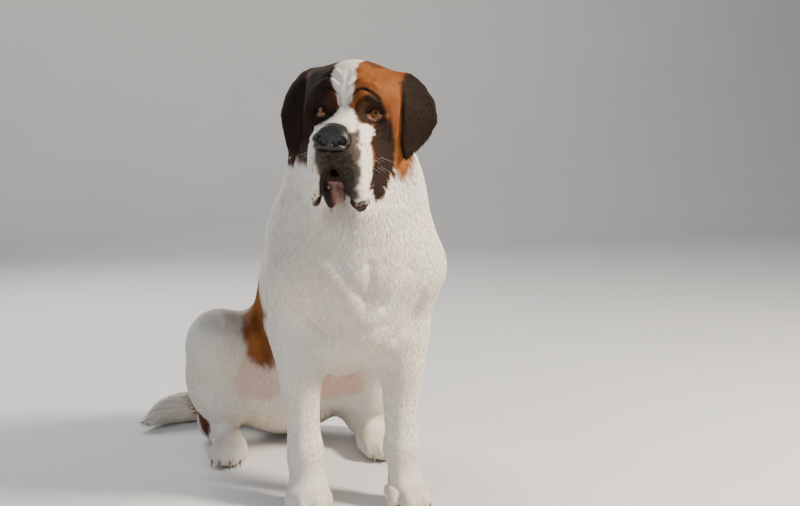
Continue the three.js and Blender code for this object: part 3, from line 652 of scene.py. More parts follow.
def edge_of(value, middle, half, soft):
    """1 within half of the middle, falling to 0 beyond."""
    return 1 - step(np.abs(value - middle), half - soft, half + soft)


def mouth_parts(h):
    """How near each point is to the lips, and to the chin between them."""
    lips = np.full(len(h), 99.0)
    mirrored_h = h * np.array([-1, 1, 1])
    for line in (LIP_RIM, LIP_ROLL[:3]):
        line = smooth_line(line, 16)
        lips = np.minimum(lips, np.minimum(away_from_line(h, line), away_from_line(mirrored_h, line)))
    knobs = np.minimum(
        away_from_line(h, smooth_line(RIGHT_LOWER_LIP, 8)), away_from_line(h, smooth_line(LEFT_LOWER_LIP, 8))
    )
    return lips, knobs, away_from_line(h, smooth_line(CHIN, 8))


UNDER_LEFT_EAR = ((96, 58, -92), (42, 52, 44))


def face_marks(h):
    """Brown, dark (with a painted shade inside the mouth), pink, a painted shade under the throat and
    wetness on the head.
    """
    x, y, z = h.T
    wobble = 4 * noise(h, 16) + 2.5 * noise(h + 90, 5)
    fine = noise(h, 4.2) + 0.5 * noise(h + 7, 2.1)

    blaze_half = np.interp(z, (-30, -12, 12, 40, 72, 100), (60, 30, 10, 16, 25, 21))
    blaze_middle = np.interp(z, (-20, 10, 40, 80), (1, 2, -3, -8))
    blaze = edge_of(x + wobble, blaze_middle, blaze_half, 3) * (1 - step(y, 70, 110))
    side_edge = np.interp(z, (-160, -60, -20), (-62, -54, -44))
    muzzle = 1 - step(y + wobble + 0.16 * np.abs(x), side_edge - 5, side_edge + 5)
    muzzle *= 1 - step(z + wobble, -22, -8)
    muzzle_half = np.interp(z, (-160, -62, -46, -30, -14), (67, 64, 56, 41, 28))
    muzzle *= edge_of(x + 0.4 * wobble, 1, muzzle_half, 3)
    white = np.maximum(blaze, muzzle)
    collar = step(y + 0.5 * z + wobble, 116, 134)
    colour = (1 - white) * (1 - collar)
    colour *= 1 - step(-z + wobble, 96, 116) * (x < 0) * (y > -60)

    brown = np.maximum(colour, patch(h, *UNDER_LEFT_EAR))
    socket = patch(h, (44, -14, 6), (33, 40, 34))
    cheek = np.maximum(patch(h, (66, -6, -66), (25, 60, 62)), patch(h, (72, -16, -118), (25, 60, 54)))
    dark = np.maximum(socket * 0.96, cheek * 0.975)
    right_face = patch(h, (-66, 0, -30), (60, 96, 112))
    right_brow = patch(h, (-40, -10, 40), (44, 60, 44)) * 0.93
    crown = patch(h, (-34, 60, 66), (60, 84, 44)) * 0.87
    left_crown = patch(h, (30, 84, 84), (44, 60, 24)) * 0.6
    dark = np.maximum.reduce([dark, right_face * 0.975, right_brow, crown, left_crown]) * colour
    for side in (1, -1):
        arch = away_from_line(h[:, [0, 2]], smooth_line([(a * side, b) for a, b in BROW_ARCH], 12))
        line = (1 - step(arch + 0.3 * wobble, 2.2, 5.5)) * (y < 20)
        dark = np.maximum(dark, line * 0.98 * (1 - white))
        tan_lid = patch(h, (27 * side, -26, 22), (13, 24, 16), soft=0.5) * 0.22
        dark = dark * (1 - tan_lid * (1 - line))
    dark *= 0.97 + 0.03 * step(fine, -0.3, 0.5)
    ear = np.zeros(len(h))
    for side, line in EAR_EDGES.items():
        edge_x, edge_z = np.array(line[::-1]).T
        beyond_edge = x * side - np.interp(z, edge_z, edge_x * side)
        ear = np.maximum(ear, step(beyond_edge + 0.2 * wobble, -1.5, 2.5) * step(z, -128, -112))
    dark = dark * (1 - ear) + ear * (0.955 + 0.03 * step(fine, -0.3, 0.5))
    brown = np.maximum(brown, ear)

    lips, knobs, chin = mouth_parts(h)
    mask_middle = np.interp(z, (-150, -100, -60, -36), (8, 11, 9, 3))
    mask_half = np.interp(z, (-165, -150, -108, -85, -62, -34), (28, 36, 41, 41, 41, 42))
    mask = edge_of(x + wobble * 1.1, mask_middle, mask_half, 5)
    mask *= 1 - step(y, -80, -66)
    mask *= step(-z + 0.5 * wobble, 20, 28)
    grizzle = 0.92 + 0.06 * step(fine, -0.5, 0.4)
    grizzle -= 0.1 * step(np.abs(x - mask_middle), mask_half * 0.55, mask_half)
    dark = np.maximum(dark, mask * grizzle)
    brown = np.maximum(brown, mask * 0.45)
    freckled = edge_of(x, mask_middle, mask_half + 20, 8) * step(noise(h + 31, 4.4), 0.56, 0.72)
    freckled *= (y < -34) * (z < -40)
    dark = np.maximum(dark, freckled * 0.5)
    brown = np.maximum(brown, freckled * 0.5)

    # Painted shade: the inside of the mouth is coloured near-black for the shade that fills it.
    shaded_mouth = (np.abs(x) < 20) & (z < -92) & (z > -128) & (y < -60) & (y > -112)
    dark = np.where(shaded_mouth, 0.9, dark)
    brown = np.where(shaded_mouth, 1.0, brown)
    on_chin = (1 - step(chin, 16, 20)) * (z < -122)
    chin_dark = (0.74 + 0.18 * step(fine, 0, 0.6)) * (1 - 0.4 * step(-z, 150, 172))
    dark = dark * (1 - on_chin) + on_chin * chin_dark
    brown = brown * (1 - on_chin) + on_chin * 0.35
    rim = np.maximum(1 - step(lips + wobble * 0.4, 4.5, 8), 1 - step(knobs, 11.5, 14))
    dark = np.maximum(dark, rim * 0.97)
    brown = np.maximum(brown, rim)

    haw = np.zeros(len(h))
    lash = np.zeros(len(h))
    for side in (1, -1):
        _, radius, to_upper, to_lower, inside = around_eye(h, side)
        at_lid = radius < 18.5
        lash = np.maximum(lash, (1 - step(np.abs(inside), 2.5, 5)) * at_lid)
        shown = (to_lower < HAW_WIDTH + 2) & (inside > -3) & (to_upper > 1.5) & at_lid
        haw = np.maximum(haw, step(to_lower, -1.6, -0.4) * shown)
    dark = np.maximum(dark, lash * 0.97) * (1 - haw)
    brown = np.maximum(brown, lash) * (1 - haw)
    # Painted shade: a grey-brown patch under the chin, where the throat lies in shadow.
    throat_shade = 0.4 * patch(h, (0, -30, -196), (40, 60, 30))
    wet = np.maximum.reduce([rim, haw, lash * 0.4, shaded_mouth * 0.8])
    return brown, dark, haw * 0.9 + on_chin * 0.2, throat_shade, wet


BROWN_PATCHES = (
    ((-152, 292, 376), (54, 84, 132), 60),
    ((20, 330, 560), (150, 105, 120), 70),
    ((130, 300, 420), (90, 96, 84), 60),
    ((-40, 590, 210), (150, 90, 130), 60),
    ((-300, 560, 235), (70, 74, 70), 50),
    ((150, 520, 250), (70, 100, 90), 50),
    ((-150, 690, 60), (110, 70, 70), 50),
    ((-268, 470, 78), (30, 44, 40), 30),
)


def body_marks(b):
    """Brown, dark, pink and grey on the body."""
    brown = patch(b, (36, 250, 262), (46, 60, 16), scale=20) * 0.8
    for centre, radii, scale in BROWN_PATCHES:
        brown = np.maximum(brown, patch(b, centre, radii, scale=scale))
    brown *= 1 - patch(b, (-150, 214, 320), (30, 28, 62), scale=40)
    dark = 0.55 * patch(b, (-268, 480, 70), (22, 32, 34), scale=30)
    dark += 0.35 * brown * step(noise(b, 60), 0, 0.6)
    thigh_skin = patch(b, (-150, 330, 215), (62, 90, 80), scale=40) * 0.34
    belly_skin = patch(b, (-10, 290, 200), (110, 110, 70), scale=40) * 0.4
    spots = step(noise(b + 5, 16), 0.3, 0.6) * belly_skin
    grey = 0.3 * patch(b, (-225, 400, 350), (70, 90, 44), scale=40)
    pink = np.maximum(thigh_skin, belly_skin + spots * 0.5) * (1 - brown)
    return brown, dark, pink, grey


HEAD_REACH = 260


def markings_at(world_points, parts):
    """Shares of brown, dark, pink and grey (which also holds the painted shade under the throat) at each
    point, and how wet it is.
    """
    h = to_head(world_points)
    b = (world_points - np.array(shift)) / MM
    of_head = belongs(parts, "face", "skull", "jaw", "ear")
    near = of_head | (np.linalg.norm(h, axis=1) < HEAD_REACH)
    result = np.zeros((len(h), 5))
    result[:, :4] = np.stack(body_marks(b), axis=1)
    result[of_head, :4] = 0
    on_head = np.stack(face_marks(h[near]), axis=1)
    result[near] = np.maximum(result[near], on_head)
    neck_only = near & ~of_head
    result[neck_only, 0] = patch(h[neck_only], *UNDER_LEFT_EAR)
    result[neck_only, 1] = 0
    return np.clip(result, 0, 1)


parts = parts_at(points)
marks = markings_at(points, parts)
wet = marks[:, 4]
marks = marks[:, :4]
print("brown share of the skin", round(float(marks[:, 0].mean()), 3))

# %% [markdown]
# The lie of the coat is a direction at each point: back from the nose over the skull, down the
# cheeks and the throat, down the legs, along the trunk to the tail. It is laid roughly by part and
# then evened out over the mesh, so that no parting shows where two parts meet.

# %% Lie and length of the tufts
BODY_LIE = {
    "neck": (0, 0.35, -1), "chest": (0, 0.5, -0.9), "belly": (0, 0.8, -0.75), "rump": (0, 0.6, -0.9),
    "shoulder": (0, 0.3, -1), "foreleg": (0, 0.1, -1), "forepaw": (0, -0.9, -0.5),
    "hindpaw": (0, -0.9, -0.5), "hind_foot": (0, -1, -0.3), "shank": (0, 0.2, -1), "thigh": (0, 0.75, -0.8),
    "tail_root": (-0.6, 0.8, -0.2), "tail_end": (-1, -0.2, -0.2),
}
HEAD_LIE = {"face": (0, 1, -0.15), "skull": (0, 1, -0.35), "ear": (0, 0.1, -1), "jaw": (0, 0.6, -0.6)}
TUFT_LENGTH = {
    "face": 4.6, "skull": 8, "left_ear": 8.5, "right_ear": 8.5, "jaw": 4.6, "neck": 15, "chest": 13,
    "belly": 13, "rump": 16, "shoulder": 12, "foreleg": 9, "forepaw": 6, "hindpaw": 6, "hind_foot": 7.5,
    "shank": 10, "thigh": 13, "tail_root": 22, "tail_end": 28,
}
LONGEST_SHORT_TUFT = 17
SWIRL = 0.22
SWIRL_SIZE = 45

lie = np.zeros((len(points), 3))
for ending, way in BODY_LIE.items():
    lie[belongs(parts, ending)] = way
for ending, way in HEAD_LIE.items():
    lie[belongs(parts, ending)] = head_turn @ Vector(way)
front = belongs(parts, "neck", "chest") & (points[:, 1] < shift.y - 10 * MM)
lie[front] = (0, 0, -1)
sideways = (points[:, 0] - shift.x) / MM
lie[front, 0] = np.clip(sideways[front] / 240, -0.5, 0.5)
lie = spread(lie, pairs, 60)
swirl = np.stack([noise(points / MM + away, SWIRL_SIZE) for away in (0, 50, 99)], axis=1)
lie /= np.linalg.norm(lie, axis=1)[:, None] + 1e-9
lie += SWIRL * swirl * ~belongs(parts, "face")[:, None]
out = normals(skin.data)
lie -= out * (lie * out).sum(axis=1)[:, None]
lie /= np.linalg.norm(lie, axis=1)[:, None] + 1e-9

length = by_part(parts, TUFT_LENGTH, 14)
length = spread(length, pairs, 30)

# %% Keep the tufts off the lids, the lips and the soles
head_points = to_head(points)
bare = np.zeros(len(points))
for side in (1, -1):
    inside = around_eye(head_points, side)[-1]
    bare = np.maximum(bare, step(inside, -6.5, -4))
nose_middle = to_head(np.array([middle_of("nose")]))[0]
from_nose = np.linalg.norm((head_points - nose_middle) / (37, 34, 30), axis=1)
bare = np.maximum(bare, 1 - step(from_nose, 0.98, 1.1))
bare = np.maximum(bare, step(wet, 0.3, 0.7))
soles = (points[:, 2] < 3 * MM) & (out[:, 2] < -0.5)
bare = np.maximum(bare, soles)
print("bare share", round(float(bare.mean()), 3), "longest tuft", length.max().round(1), "mm")

# %% Thin the mesh away from the face, keeping what each point knows
SKIN_TRIANGLES = 185_000


def store(mesh, name, kind, values):
    attribute = mesh.attributes.new(name, kind, "POINT")
    field = {"FLOAT": "value", "FLOAT_VECTOR": "vector", "FLOAT_COLOR": "color"}[kind]
    attribute.data.foreach_set(field, np.ascontiguousarray(values, dtype=np.float32).ravel())


KEEP_FINE = ((("face", "jaw"), 1.0), (("paw",), 0.35), (("ear",), 0.25))
group = skin.vertex_groups.new(name="keep")
for endings, weight in KEEP_FINE:
    group.add(np.flatnonzero(belongs(parts, *endings)).tolist(), weight, "REPLACE")
decimate = skin.modifiers.new("Thin", "DECIMATE")
decimate.ratio = SKIN_TRIANGLES / (2 * len(skin.data.polygons))
decimate.vertex_group = "keep"
decimate.invert_vertex_group = True
decimate.vertex_group_factor = 1.0
full_tree = KDTree(len(points))
for i, p in enumerate(points):
    full_tree.insert(p, i)
full_tree.balance()
apply_modifiers(skin)
kept = np.array([full_tree.find(p)[1] for p in places(skin.data)])
store(skin.data, "marks", "FLOAT_COLOR", marks[kept])
store(skin.data, "lie", "FLOAT_VECTOR", lie[kept])
store(skin.data, "wet", "FLOAT", wet[kept])
skin.data.shade_smooth()
print("skin triangles", sum(len(p.vertices) - 2 for p in skin.data.polygons))

# %% Unwrap the skin by its own shape
bpy.context.view_layer.objects.active = skin
skin.select_set(True)
skin.data.uv_layers.new(name="OFBake")
bpy.ops.object.mode_set(mode="EDIT")
bpy.ops.mesh.select_all(action="SELECT")
bpy.ops.uv.smart_project(angle_limit=math.radians(66), island_margin=0.002)
bpy.ops.object.mode_set(mode="OBJECT")

# %% [markdown]
# Coat and skin share one shader group. It turns the four shares into colour: cream white with a warm
# drift, rusty brown, near-black, bare pink, and a little grey, which also paints the shade under the
# throat. A value of each strand's own makes it lighter or darker, since no two locks of a dog's coat
# are the same colour.

# %% The coat's colour group


def node(tree, kind, **settings):
    made = tree.nodes.new(kind)
    for name, value in settings.items():
        setattr(made, name, value)
    return made


def mix(tree, factor, a, b):
    made = node(tree, "ShaderNodeMix", data_type="RGBA")
    for socket, value in zip((made.inputs[0], made.inputs[6], made.inputs[7]), (factor, a, b)):
        if isinstance(value, bpy.types.NodeSocket):
            tree.links.new(value, socket)
        else:
            socket.default_value = value
    return made.outputs[2]


def texture_noise(tree, place, scale, detail=3.0):
    made = node(tree, "ShaderNodeTexNoise")
    made.inputs["Scale"].default_value = scale
    made.inputs["Detail"].default_value = detail
    tree.links.new(place, made.inputs["Vector"])
    return made.outputs["Fac"]


def between(tree, value, low, high, to_low=0.0, to_high=1.0):
    made = node(tree, "ShaderNodeMapRange")
    for name, number in (("From Min", low), ("From Max", high), ("To Min", to_low), ("To Max", to_high)):
        made.inputs[name].default_value = number
    tree.links.new(value, made.inputs["Value"])
    return made.outputs["Result"]


CREAM = (0.83, 0.78, 0.70, 1)
WARM_WHITE = (0.86, 0.755, 0.63, 1)
RUST = (0.185, 0.055, 0.014, 1)
TAN = (0.31, 0.108, 0.026, 1)
SABLE = (0.013, 0.0078, 0.006, 1)
FLESH = (0.66, 0.22, 0.16, 1)
GREY_AND_THROAT_SHADE = (0.33, 0.25, 0.18, 1)

colours = bpy.data.node_groups.new("coat_colours", "ShaderNodeTree")
colours.interface.new_socket(name="Strand", in_out="INPUT", socket_type="NodeSocketFloat")
colours.interface.new_socket(name="Colour", in_out="OUTPUT", socket_type="NodeSocketColor")
given = node(colours, "NodeGroupInput")
result = node(colours, "NodeGroupOutput")
place = node(colours, "ShaderNodeTexCoord").outputs["Object"]
shares = node(colours, "ShaderNodeAttribute", attribute_name="marks")
split = node(colours, "ShaderNodeSeparateColor")
colours.links.new(shares.outputs["Color"], split.inputs[0])
drift = between(colours, texture_noise(colours, place, 7), 0.35, 0.65)
white = mix(colours, drift, CREAM, WARM_WHITE)
ginger = mix(colours, between(colours, texture_noise(colours, place, 11), 0.4, 0.62), RUST, TAN)
colour = mix(colours, split.outputs[0], white, ginger)
colour = mix(colours, split.outputs[1], colour, SABLE)
colour = mix(colours, split.outputs[2], colour, FLESH)
# The fourth share mixes in grey: a grey patch on the body, and the painted shade under the throat.
colour = mix(colours, shares.outputs["Alpha"], colour, GREY_AND_THROAT_SHADE)
strands = between(colours, given.outputs["Strand"], 0.0, 1.0, 0.84, 1.08)
shade = node(colours, "ShaderNodeVectorMath", operation="SCALE")
colours.links.new(colour, shade.inputs[0])
colours.links.new(strands, shade.inputs["Scale"])
colours.links.new(shade.outputs[0], result.inputs["Colour"])

# %% Materials of the skin and the coat


def principled(name, roughness):
    material = bpy.data.materials.new(name)
    material.use_nodes = True
    shader = material.node_tree.nodes["Principled BSDF"]
    shader.inputs["Roughness"].default_value = roughness
    return material, material.node_tree, shader


def object_place(tree):
    return node(tree, "ShaderNodeTexCoord").outputs["Object"]


def toned(name, roughness, scale, one, other):
    """A material whose colour drifts between two tones by a noise of this scale."""
    material, tree, shader = principled(name, roughness)
    tone = mix(tree, texture_noise(tree, object_place(tree), scale), one, other)
    tree.links.new(tone, shader.inputs["Base Color"])
    return material, tree, shader


def bump(tree, shader, height, strength, distance):
    made = node(tree, "ShaderNodeBump")
    made.inputs["Strength"].default_value = strength
    made.inputs["Distance"].default_value = distance
    tree.links.new(height, made.inputs["Height"])
    tree.links.new(made.outputs["Normal"], shader.inputs["Normal"])


def coat_material(name, strand_of, roughness, sheen):
    material, tree, shader = principled(name, roughness)
    group_node = node(tree, "ShaderNodeGroup", node_tree=colours)
    tree.links.new(strand_of(tree), group_node.inputs["Strand"])
    tree.links.new(group_node.outputs["Colour"], shader.inputs["Base Color"])
    shader.inputs["Specular IOR Level"].default_value = 0.12
    shader.inputs["Sheen Weight"].default_value = sheen
    return material, tree, shader


def tuft_strand(tree):
    return node(tree, "ShaderNodeAttribute", attribute_name="strand").outputs["Fac"]


def skin_strand(tree):
    return texture_noise(tree, object_place(tree), 260, 2.0)


tuft_material, _, _ = coat_material("coat_tufts", tuft_strand, 0.72, 0.0)
skin_material, skin_tree, skin_shader = coat_material("skin_under_coat", skin_strand, 0.72, 0.0)
wetness = node(skin_tree, "ShaderNodeAttribute", attribute_name="wet").outputs["Fac"]
skin_tree.links.new(between(skin_tree, wetness, 0, 1, 0.72, 0.3), skin_shader.inputs["Roughness"])
grain = texture_noise(skin_tree, object_place(skin_tree), 420, 4.0)
bump(skin_tree, skin_shader, grain, 0.5, 0.0012)
skin.data.materials.clear()
skin.data.materials.append(skin_material)

# %% [markdown]
# A tuft is a tiny closed blade: flat, pointed and bent down at its tip, a dozen hairs stuck
# together. Short fur takes a plain three-sided splinter, because its bend wouldn't show. Geometry
# Nodes scatter them: points over the skin, each with the lie, length and markings of its root, and
# an instance turned along the lie. Real meshes come out, since an export drops instances.

# %% The two tuft shapes
long_blade = new_piece(
    "long_blade",
    [
        (-0.5, -0.3, -0.06), (0.5, -0.3, -0.06), (0, 0.7, -0.06),
        (-0.36, 0.5, 0.5), (0.36, 0.5, 0.5), (0, 1.5, 0.5), (0, -0.2, 1),
    ],
    [(0, 2, 1), (0, 1, 4, 3), (1, 2, 5, 4), (2, 0, 3, 5), (3, 4, 6), (4, 5, 6), (5, 3, 6)],
)
short_blade = new_piece(
    "short_blade",
    [(-0.5, -0.3, -0.1), (0.5, -0.3, -0.1), (0, 0.8, -0.1), (0, 0.1, 1)],
    [(0, 2, 1), (0, 1, 3), (1, 2, 3), (2, 0, 3)],
)
for blade in (long_blade, short_blade):
    check = bmesh.new()
    check.from_mesh(blade.data)
    bmesh.ops.recalc_face_normals(check, faces=check.faces)
    check.to_mesh(blade.data)
    check.free()
    blade.data.shade_smooth()

# %% The scattering tree
SCATTER_INPUTS = {
    "Geometry": "Geometry", "Tuft": "Object", "Material": "Material", "Density": "Float", "Part": "Int",
    "Lift": "Float", "Unruly": "Float", "Softness": "Float", "Seed": "Int",
}


def scatter_tree(name):
    """Scatters an object over a skin, along its lie."""
    tree = bpy.data.node_groups.new(name, "GeometryNodeTree")
    for name, kind in SCATTER_INPUTS.items():
        tree.interface.new_socket(name=name, in_out="INPUT", socket_type="NodeSocket" + kind)
    tree.interface.new_socket(name="Geometry", in_out="OUTPUT", socket_type="NodeSocketGeometry")
    link = tree.links.new
    given = node(tree, "NodeGroupInput").outputs
    result = node(tree, "NodeGroupOutput")

    def named(attribute, kind="FLOAT"):
        made = node(tree, "GeometryNodeInputNamedAttribute", data_type=kind)
        made.inputs["Name"].default_value = attribute
        return made.outputs["Attribute"]

    def keep(geometry, name, value, kind, domain="POINT"):
        made = node(tree, "GeometryNodeStoreNamedAttribute", data_type=kind, domain=domain)
        made.inputs["Name"].default_value = name
        link(geometry, made.inputs["Geometry"])
        link(value, made.inputs["Value"])
        return made.outputs["Geometry"]

    def vector_math(operation, a, b=None, scale=None):
        made = node(tree, "ShaderNodeVectorMath", operation=operation)
        link(a, made.inputs[0])
        if b is not None:
            link(b, made.inputs[1])
        if scale is not None:
            link(scale, made.inputs["Scale"])
        return made.outputs[0]

    part_is = node(tree, "FunctionNodeCompare", data_type="FLOAT", operation="EQUAL")
    part_is.inputs["Epsilon"].default_value = 0.4
    link(named("part"), part_is.inputs[0])
    link(given["Part"], part_is.inputs[1])
    density = node(tree, "ShaderNodeMath", operation="MULTIPLY")
    link(given["Density"], density.inputs[0])
    link(named("density"), density.inputs[1])
    scatter = node(tree, "GeometryNodeDistributePointsOnFaces", distribute_method="RANDOM")
    link(given["Geometry"], scatter.inputs["Mesh"])
    link(part_is.outputs[0], scatter.inputs["Selection"])
    link(density.outputs[0], scatter.inputs["Density"])
    link(given["Seed"], scatter.inputs["Seed"])

    strand = node(tree, "FunctionNodeRandomValue", data_type="FLOAT")
    roots = keep(scatter.outputs["Points"], "root_uv", named("OFBake", "FLOAT_VECTOR"), "FLOAT_VECTOR")
    roots = keep(roots, "root_normal", scatter.outputs["Normal"], "FLOAT_VECTOR")
    roots = keep(roots, "strand", strand.outputs[1], "FLOAT")

    jitter = node(tree, "FunctionNodeRandomValue", data_type="FLOAT_VECTOR")
    jitter.inputs[0].default_value = (-1, -1, -1)
    jitter.inputs["Seed"].default_value = 5
    lifted = vector_math("SCALE", scatter.outputs["Normal"], scale=given["Lift"])
    shaken = vector_math("SCALE", jitter.outputs[0], scale=given["Unruly"])
    way = vector_math("ADD", vector_math("ADD", named("lie", "FLOAT_VECTOR"), lifted), shaken)
    aim = node(tree, "FunctionNodeAxesToRotation", primary_axis="Z", secondary_axis="Y")
    link(way, aim.inputs["Primary Axis"])
    link(scatter.outputs["Normal"], aim.inputs["Secondary Axis"])
    vary = node(tree, "FunctionNodeRandomValue", data_type="FLOAT")
    vary.inputs[2].default_value = 0.72
    vary.inputs[3].default_value = 1.25
    vary.inputs["Seed"].default_value = 9
    size = vector_math("SCALE", named("tuft_size", "FLOAT_VECTOR"), scale=vary.outputs[1])

    tuft = node(tree, "GeometryNodeObjectInfo", transform_space="ORIGINAL")
    link(given["Tuft"], tuft.inputs["Object"])
    instance = node(tree, "GeometryNodeInstanceOnPoints")
    link(roots, instance.inputs["Points"])
    link(tuft.outputs["Geometry"], instance.inputs["Instance"])
    link(aim.outputs["Rotation"], instance.inputs["Rotation"])
    link(size, instance.inputs["Scale"])
    realize = node(tree, "GeometryNodeRealizeInstances")
    link(instance.outputs["Instances"], realize.inputs["Geometry"])

    patch_uv = vector_math("ADD", named("root_uv", "FLOAT_VECTOR"), named("tuft_uv", "FLOAT_VECTOR"))
    tufts = keep(realize.outputs["Geometry"], "OFBake", patch_uv, "FLOAT2", "CORNER")
    own_normal = node(tree, "GeometryNodeInputNormal").outputs["Normal"]
    soft = node(tree, "ShaderNodeMath", operation="SUBTRACT")
    soft.inputs[0].default_value = 1.0
    link(given["Softness"], soft.inputs[1])
    root_share = vector_math("SCALE", named("root_normal", "FLOAT_VECTOR"), scale=given["Softness"])
    own_share = vector_math("SCALE", own_normal, scale=soft.outputs[0])
    shading = node(tree, "GeometryNodeSetMeshNormal", mode="FREE", domain="POINT")
    link(tufts, shading.inputs["Mesh"])
    shared = vector_math("NORMALIZE", vector_math("ADD", root_share, own_share))
    link(shared, shading.inputs["Custom Normal"])
    paint = node(tree, "GeometryNodeSetMaterial")
    link(shading.outputs["Mesh"], paint.inputs["Geometry"])
    link(given["Material"], paint.inputs["Material"])
    link(paint.outputs["Geometry"], result.inputs["Geometry"])
    return tree


tufts_tree = scatter_tree("coat_scatter")

# %% Give each tuft shape its own small patch of the unwrap
PATCH = 0.003
for blade in (long_blade, short_blade):
    shape = places(blade.data)
    flat = np.zeros_like(shape)
    flat[:, 0] = shape[:, 0] * 0.5 * PATCH
    flat[:, 1] = (shape[:, 2] - 0.5) * PATCH
    store(blade.data, "tuft_uv", "FLOAT_VECTOR", flat)

# %% How large and how dense the tufts are at each point
skin_points = places(skin.data)
skin_length = length[kept]
skin_bare = bare[kept]
is_long = skin_length > LONGEST_SHORT_TUFT
tuft_width = np.interp(skin_length, (4.6, 9, 13, 24), (1.15, 1.45, 1.75, 2.8))
tuft_thick = np.interp(skin_length, (5, 14, 24), (0.4, 0.55, 0.9))
tuft_size = np.stack([tuft_width, tuft_thick, skin_length], axis=1) * MM
cover = 1.0 / (skin_length * tuft_width * 0.62) / MM**2
store(skin.data, "tuft_size", "FLOAT_VECTOR", tuft_size)
store(skin.data, "density", "FLOAT", cover * (1 - skin_bare))

# %% Divide the skin among the coat's pieces so that each stays light
COVERAGE = 1.7
SOFTNESS = 0.72
TRIANGLES_A_PIECE = 170_000
LOWEST = 0.5 * MM


def area_of_vertices(mesh):
    mesh.calc_loop_triangles()
    corners = np.empty(len(mesh.loop_triangles) * 3, dtype=np.int32)
    mesh.loop_triangles.foreach_get("vertices", corners)
    corners = corners.reshape(-1, 3)
    p = places(mesh)[corners]
    area = np.linalg.norm(np.cross(p[:, 1] - p[:, 0], p[:, 2] - p[:, 0]), axis=1) / 2
    return np.bincount(corners.ravel(), weights=np.repeat(area / 3, 3), minlength=len(mesh.vertices))


expected = area_of_vertices(skin.data) * cover * (1 - skin_bare) * COVERAGE
part_number = np.zeros(len(skin_points))
coat_pieces = []
kinds = ((is_long, long_blade, 0.14, 0.1, 10), (~is_long, short_blade, 0.12, 0.07, 4))
for is_this, blade, lift, unruly, triangles in kinds:
    total = expected[is_this].sum() * triangles
    count = max(1, math.ceil(total / TRIANGLES_A_PIECE))
    order = np.flatnonzero(is_this)[np.argsort(skin_points[is_this, 2])]
    level = np.cumsum(expected[order]) / expected[is_this].sum() * count
    part_number[order] = len(coat_pieces) + 1 + np.minimum(level.astype(int), count - 1)
    coat_pieces += [(blade, lift, unruly)] * count
    print("tufts", int(expected[is_this].sum()), "in", count, "pieces")
store(skin.data, "part", "FLOAT", part_number)

# %% Grow the coat
coat = []
for number, (blade, lift, unruly) in enumerate(coat_pieces, 1):
    piece = bpy.data.objects.new(f"coat_{number}", skin.data.copy())
    bpy.context.scene.collection.objects.link(piece)
    modifier = piece.modifiers.new("Coat", "NODES")
    modifier.node_group = tufts_tree
    values = {
        "Tuft": blade, "Material": tuft_material, "Density": COVERAGE, "Part": number, "Lift": lift,
        "Unruly": unruly, "Softness": SOFTNESS, "Seed": number,
    }
    for item in tufts_tree.interface.items_tree:
        if item.in_out == "INPUT" and item.name in values:
            modifier[item.identifier] = values[item.name]
    apply_modifiers(piece)
    lift_to(piece.data, places(piece.data), LOWEST)
    for name in ("lie", "tuft_size", "density", "part", "root_uv", "root_normal", "tuft_uv", "wet"):
        if name in piece.data.attributes:
            piece.data.attributes.remove(piece.data.attributes[name])
    coat.append(piece)
    print(piece.name, sum(len(p.vertices) - 2 for p in piece.data.polygons), "triangles")
for name in ("part", "density", "tuft_size"):
    skin.data.attributes.remove(skin.data.attributes[name])
for blade in (long_blade, short_blade):
    bpy.data.objects.remove(blade)

# %% [markdown]
# The nose is bare leather: a soft block with a groove down its middle and two comma-shaped nostrils.
# The frame's nose gives the block. It is remeshed finely, and the nostrils are pressed in.

# %% The nose
NOSE_VOXEL = 1.3 * MM
nose = settle(welded("nose"), "nose_leather")
remesh(nose, NOSE_VOXEL)
nose_points = spread(places(nose.data), edges(nose.data), 14)
set_places(nose.data, nose_points)
in_head = to_head(nose_points)
push = np.zeros(len(in_head))
NOSTRIL = [(10, -148, -40), (14, -149, -33), (21, -145, -32), (27, -138, -40), (29, -132, -46)]
for side in (1, -1):
    line = smooth_line([(x * side, y, z) for x, y, z in NOSTRIL], 16)
    away = away_from_line(in_head, line)
    push -= 8.5 * np.exp(-((away / 4.6) ** 2))
    push += 1.6 * np.exp(-(((away - 8.5) / 3) ** 2))
middle_line = smooth_line([(0, -150, -22), (0, -150, -44), (0, -144, -62)], 12)
push -= 2.4 * np.exp(-((away_from_line(in_head, middle_line) / 1.8) ** 2))
nose_points = nose_points + normals(nose.data) * (push * MM)[:, None]
nose_points = spread(nose_points, edges(nose.data), 3, 0.4)
set_places(nose.data, nose_points)

leather, tree, shader = toned("nose_leather", 0.42, 90, (0.006, 0.005, 0.005, 1), (0.020, 0.015, 0.014, 1))
pebbles = node(tree, "ShaderNodeTexVoronoi")
pebbles.inputs["Scale"].default_value = 620
tree.links.new(object_place(tree), pebbles.inputs["Vector"])
shader.inputs["Coat Weight"].default_value = 0.12
shader.inputs["Coat Roughness"].default_value = 0.25
bump(tree, shader, pebbles.outputs["Distance"], 0.55, 0.0008)
nose.data.materials.append(leather)
nose.data.shade_smooth()
print("nose", len(nose.data.polygons), "faces")

# %% [markdown]
# An eye is a wet ball with a clear bulge in front. The colour runs out from the line of sight: black
# pupil, amber iris with radial streaks, a dark ring, then a dull white. Each vertex stores how far it
# lies from that line, and the material turns that into colour.

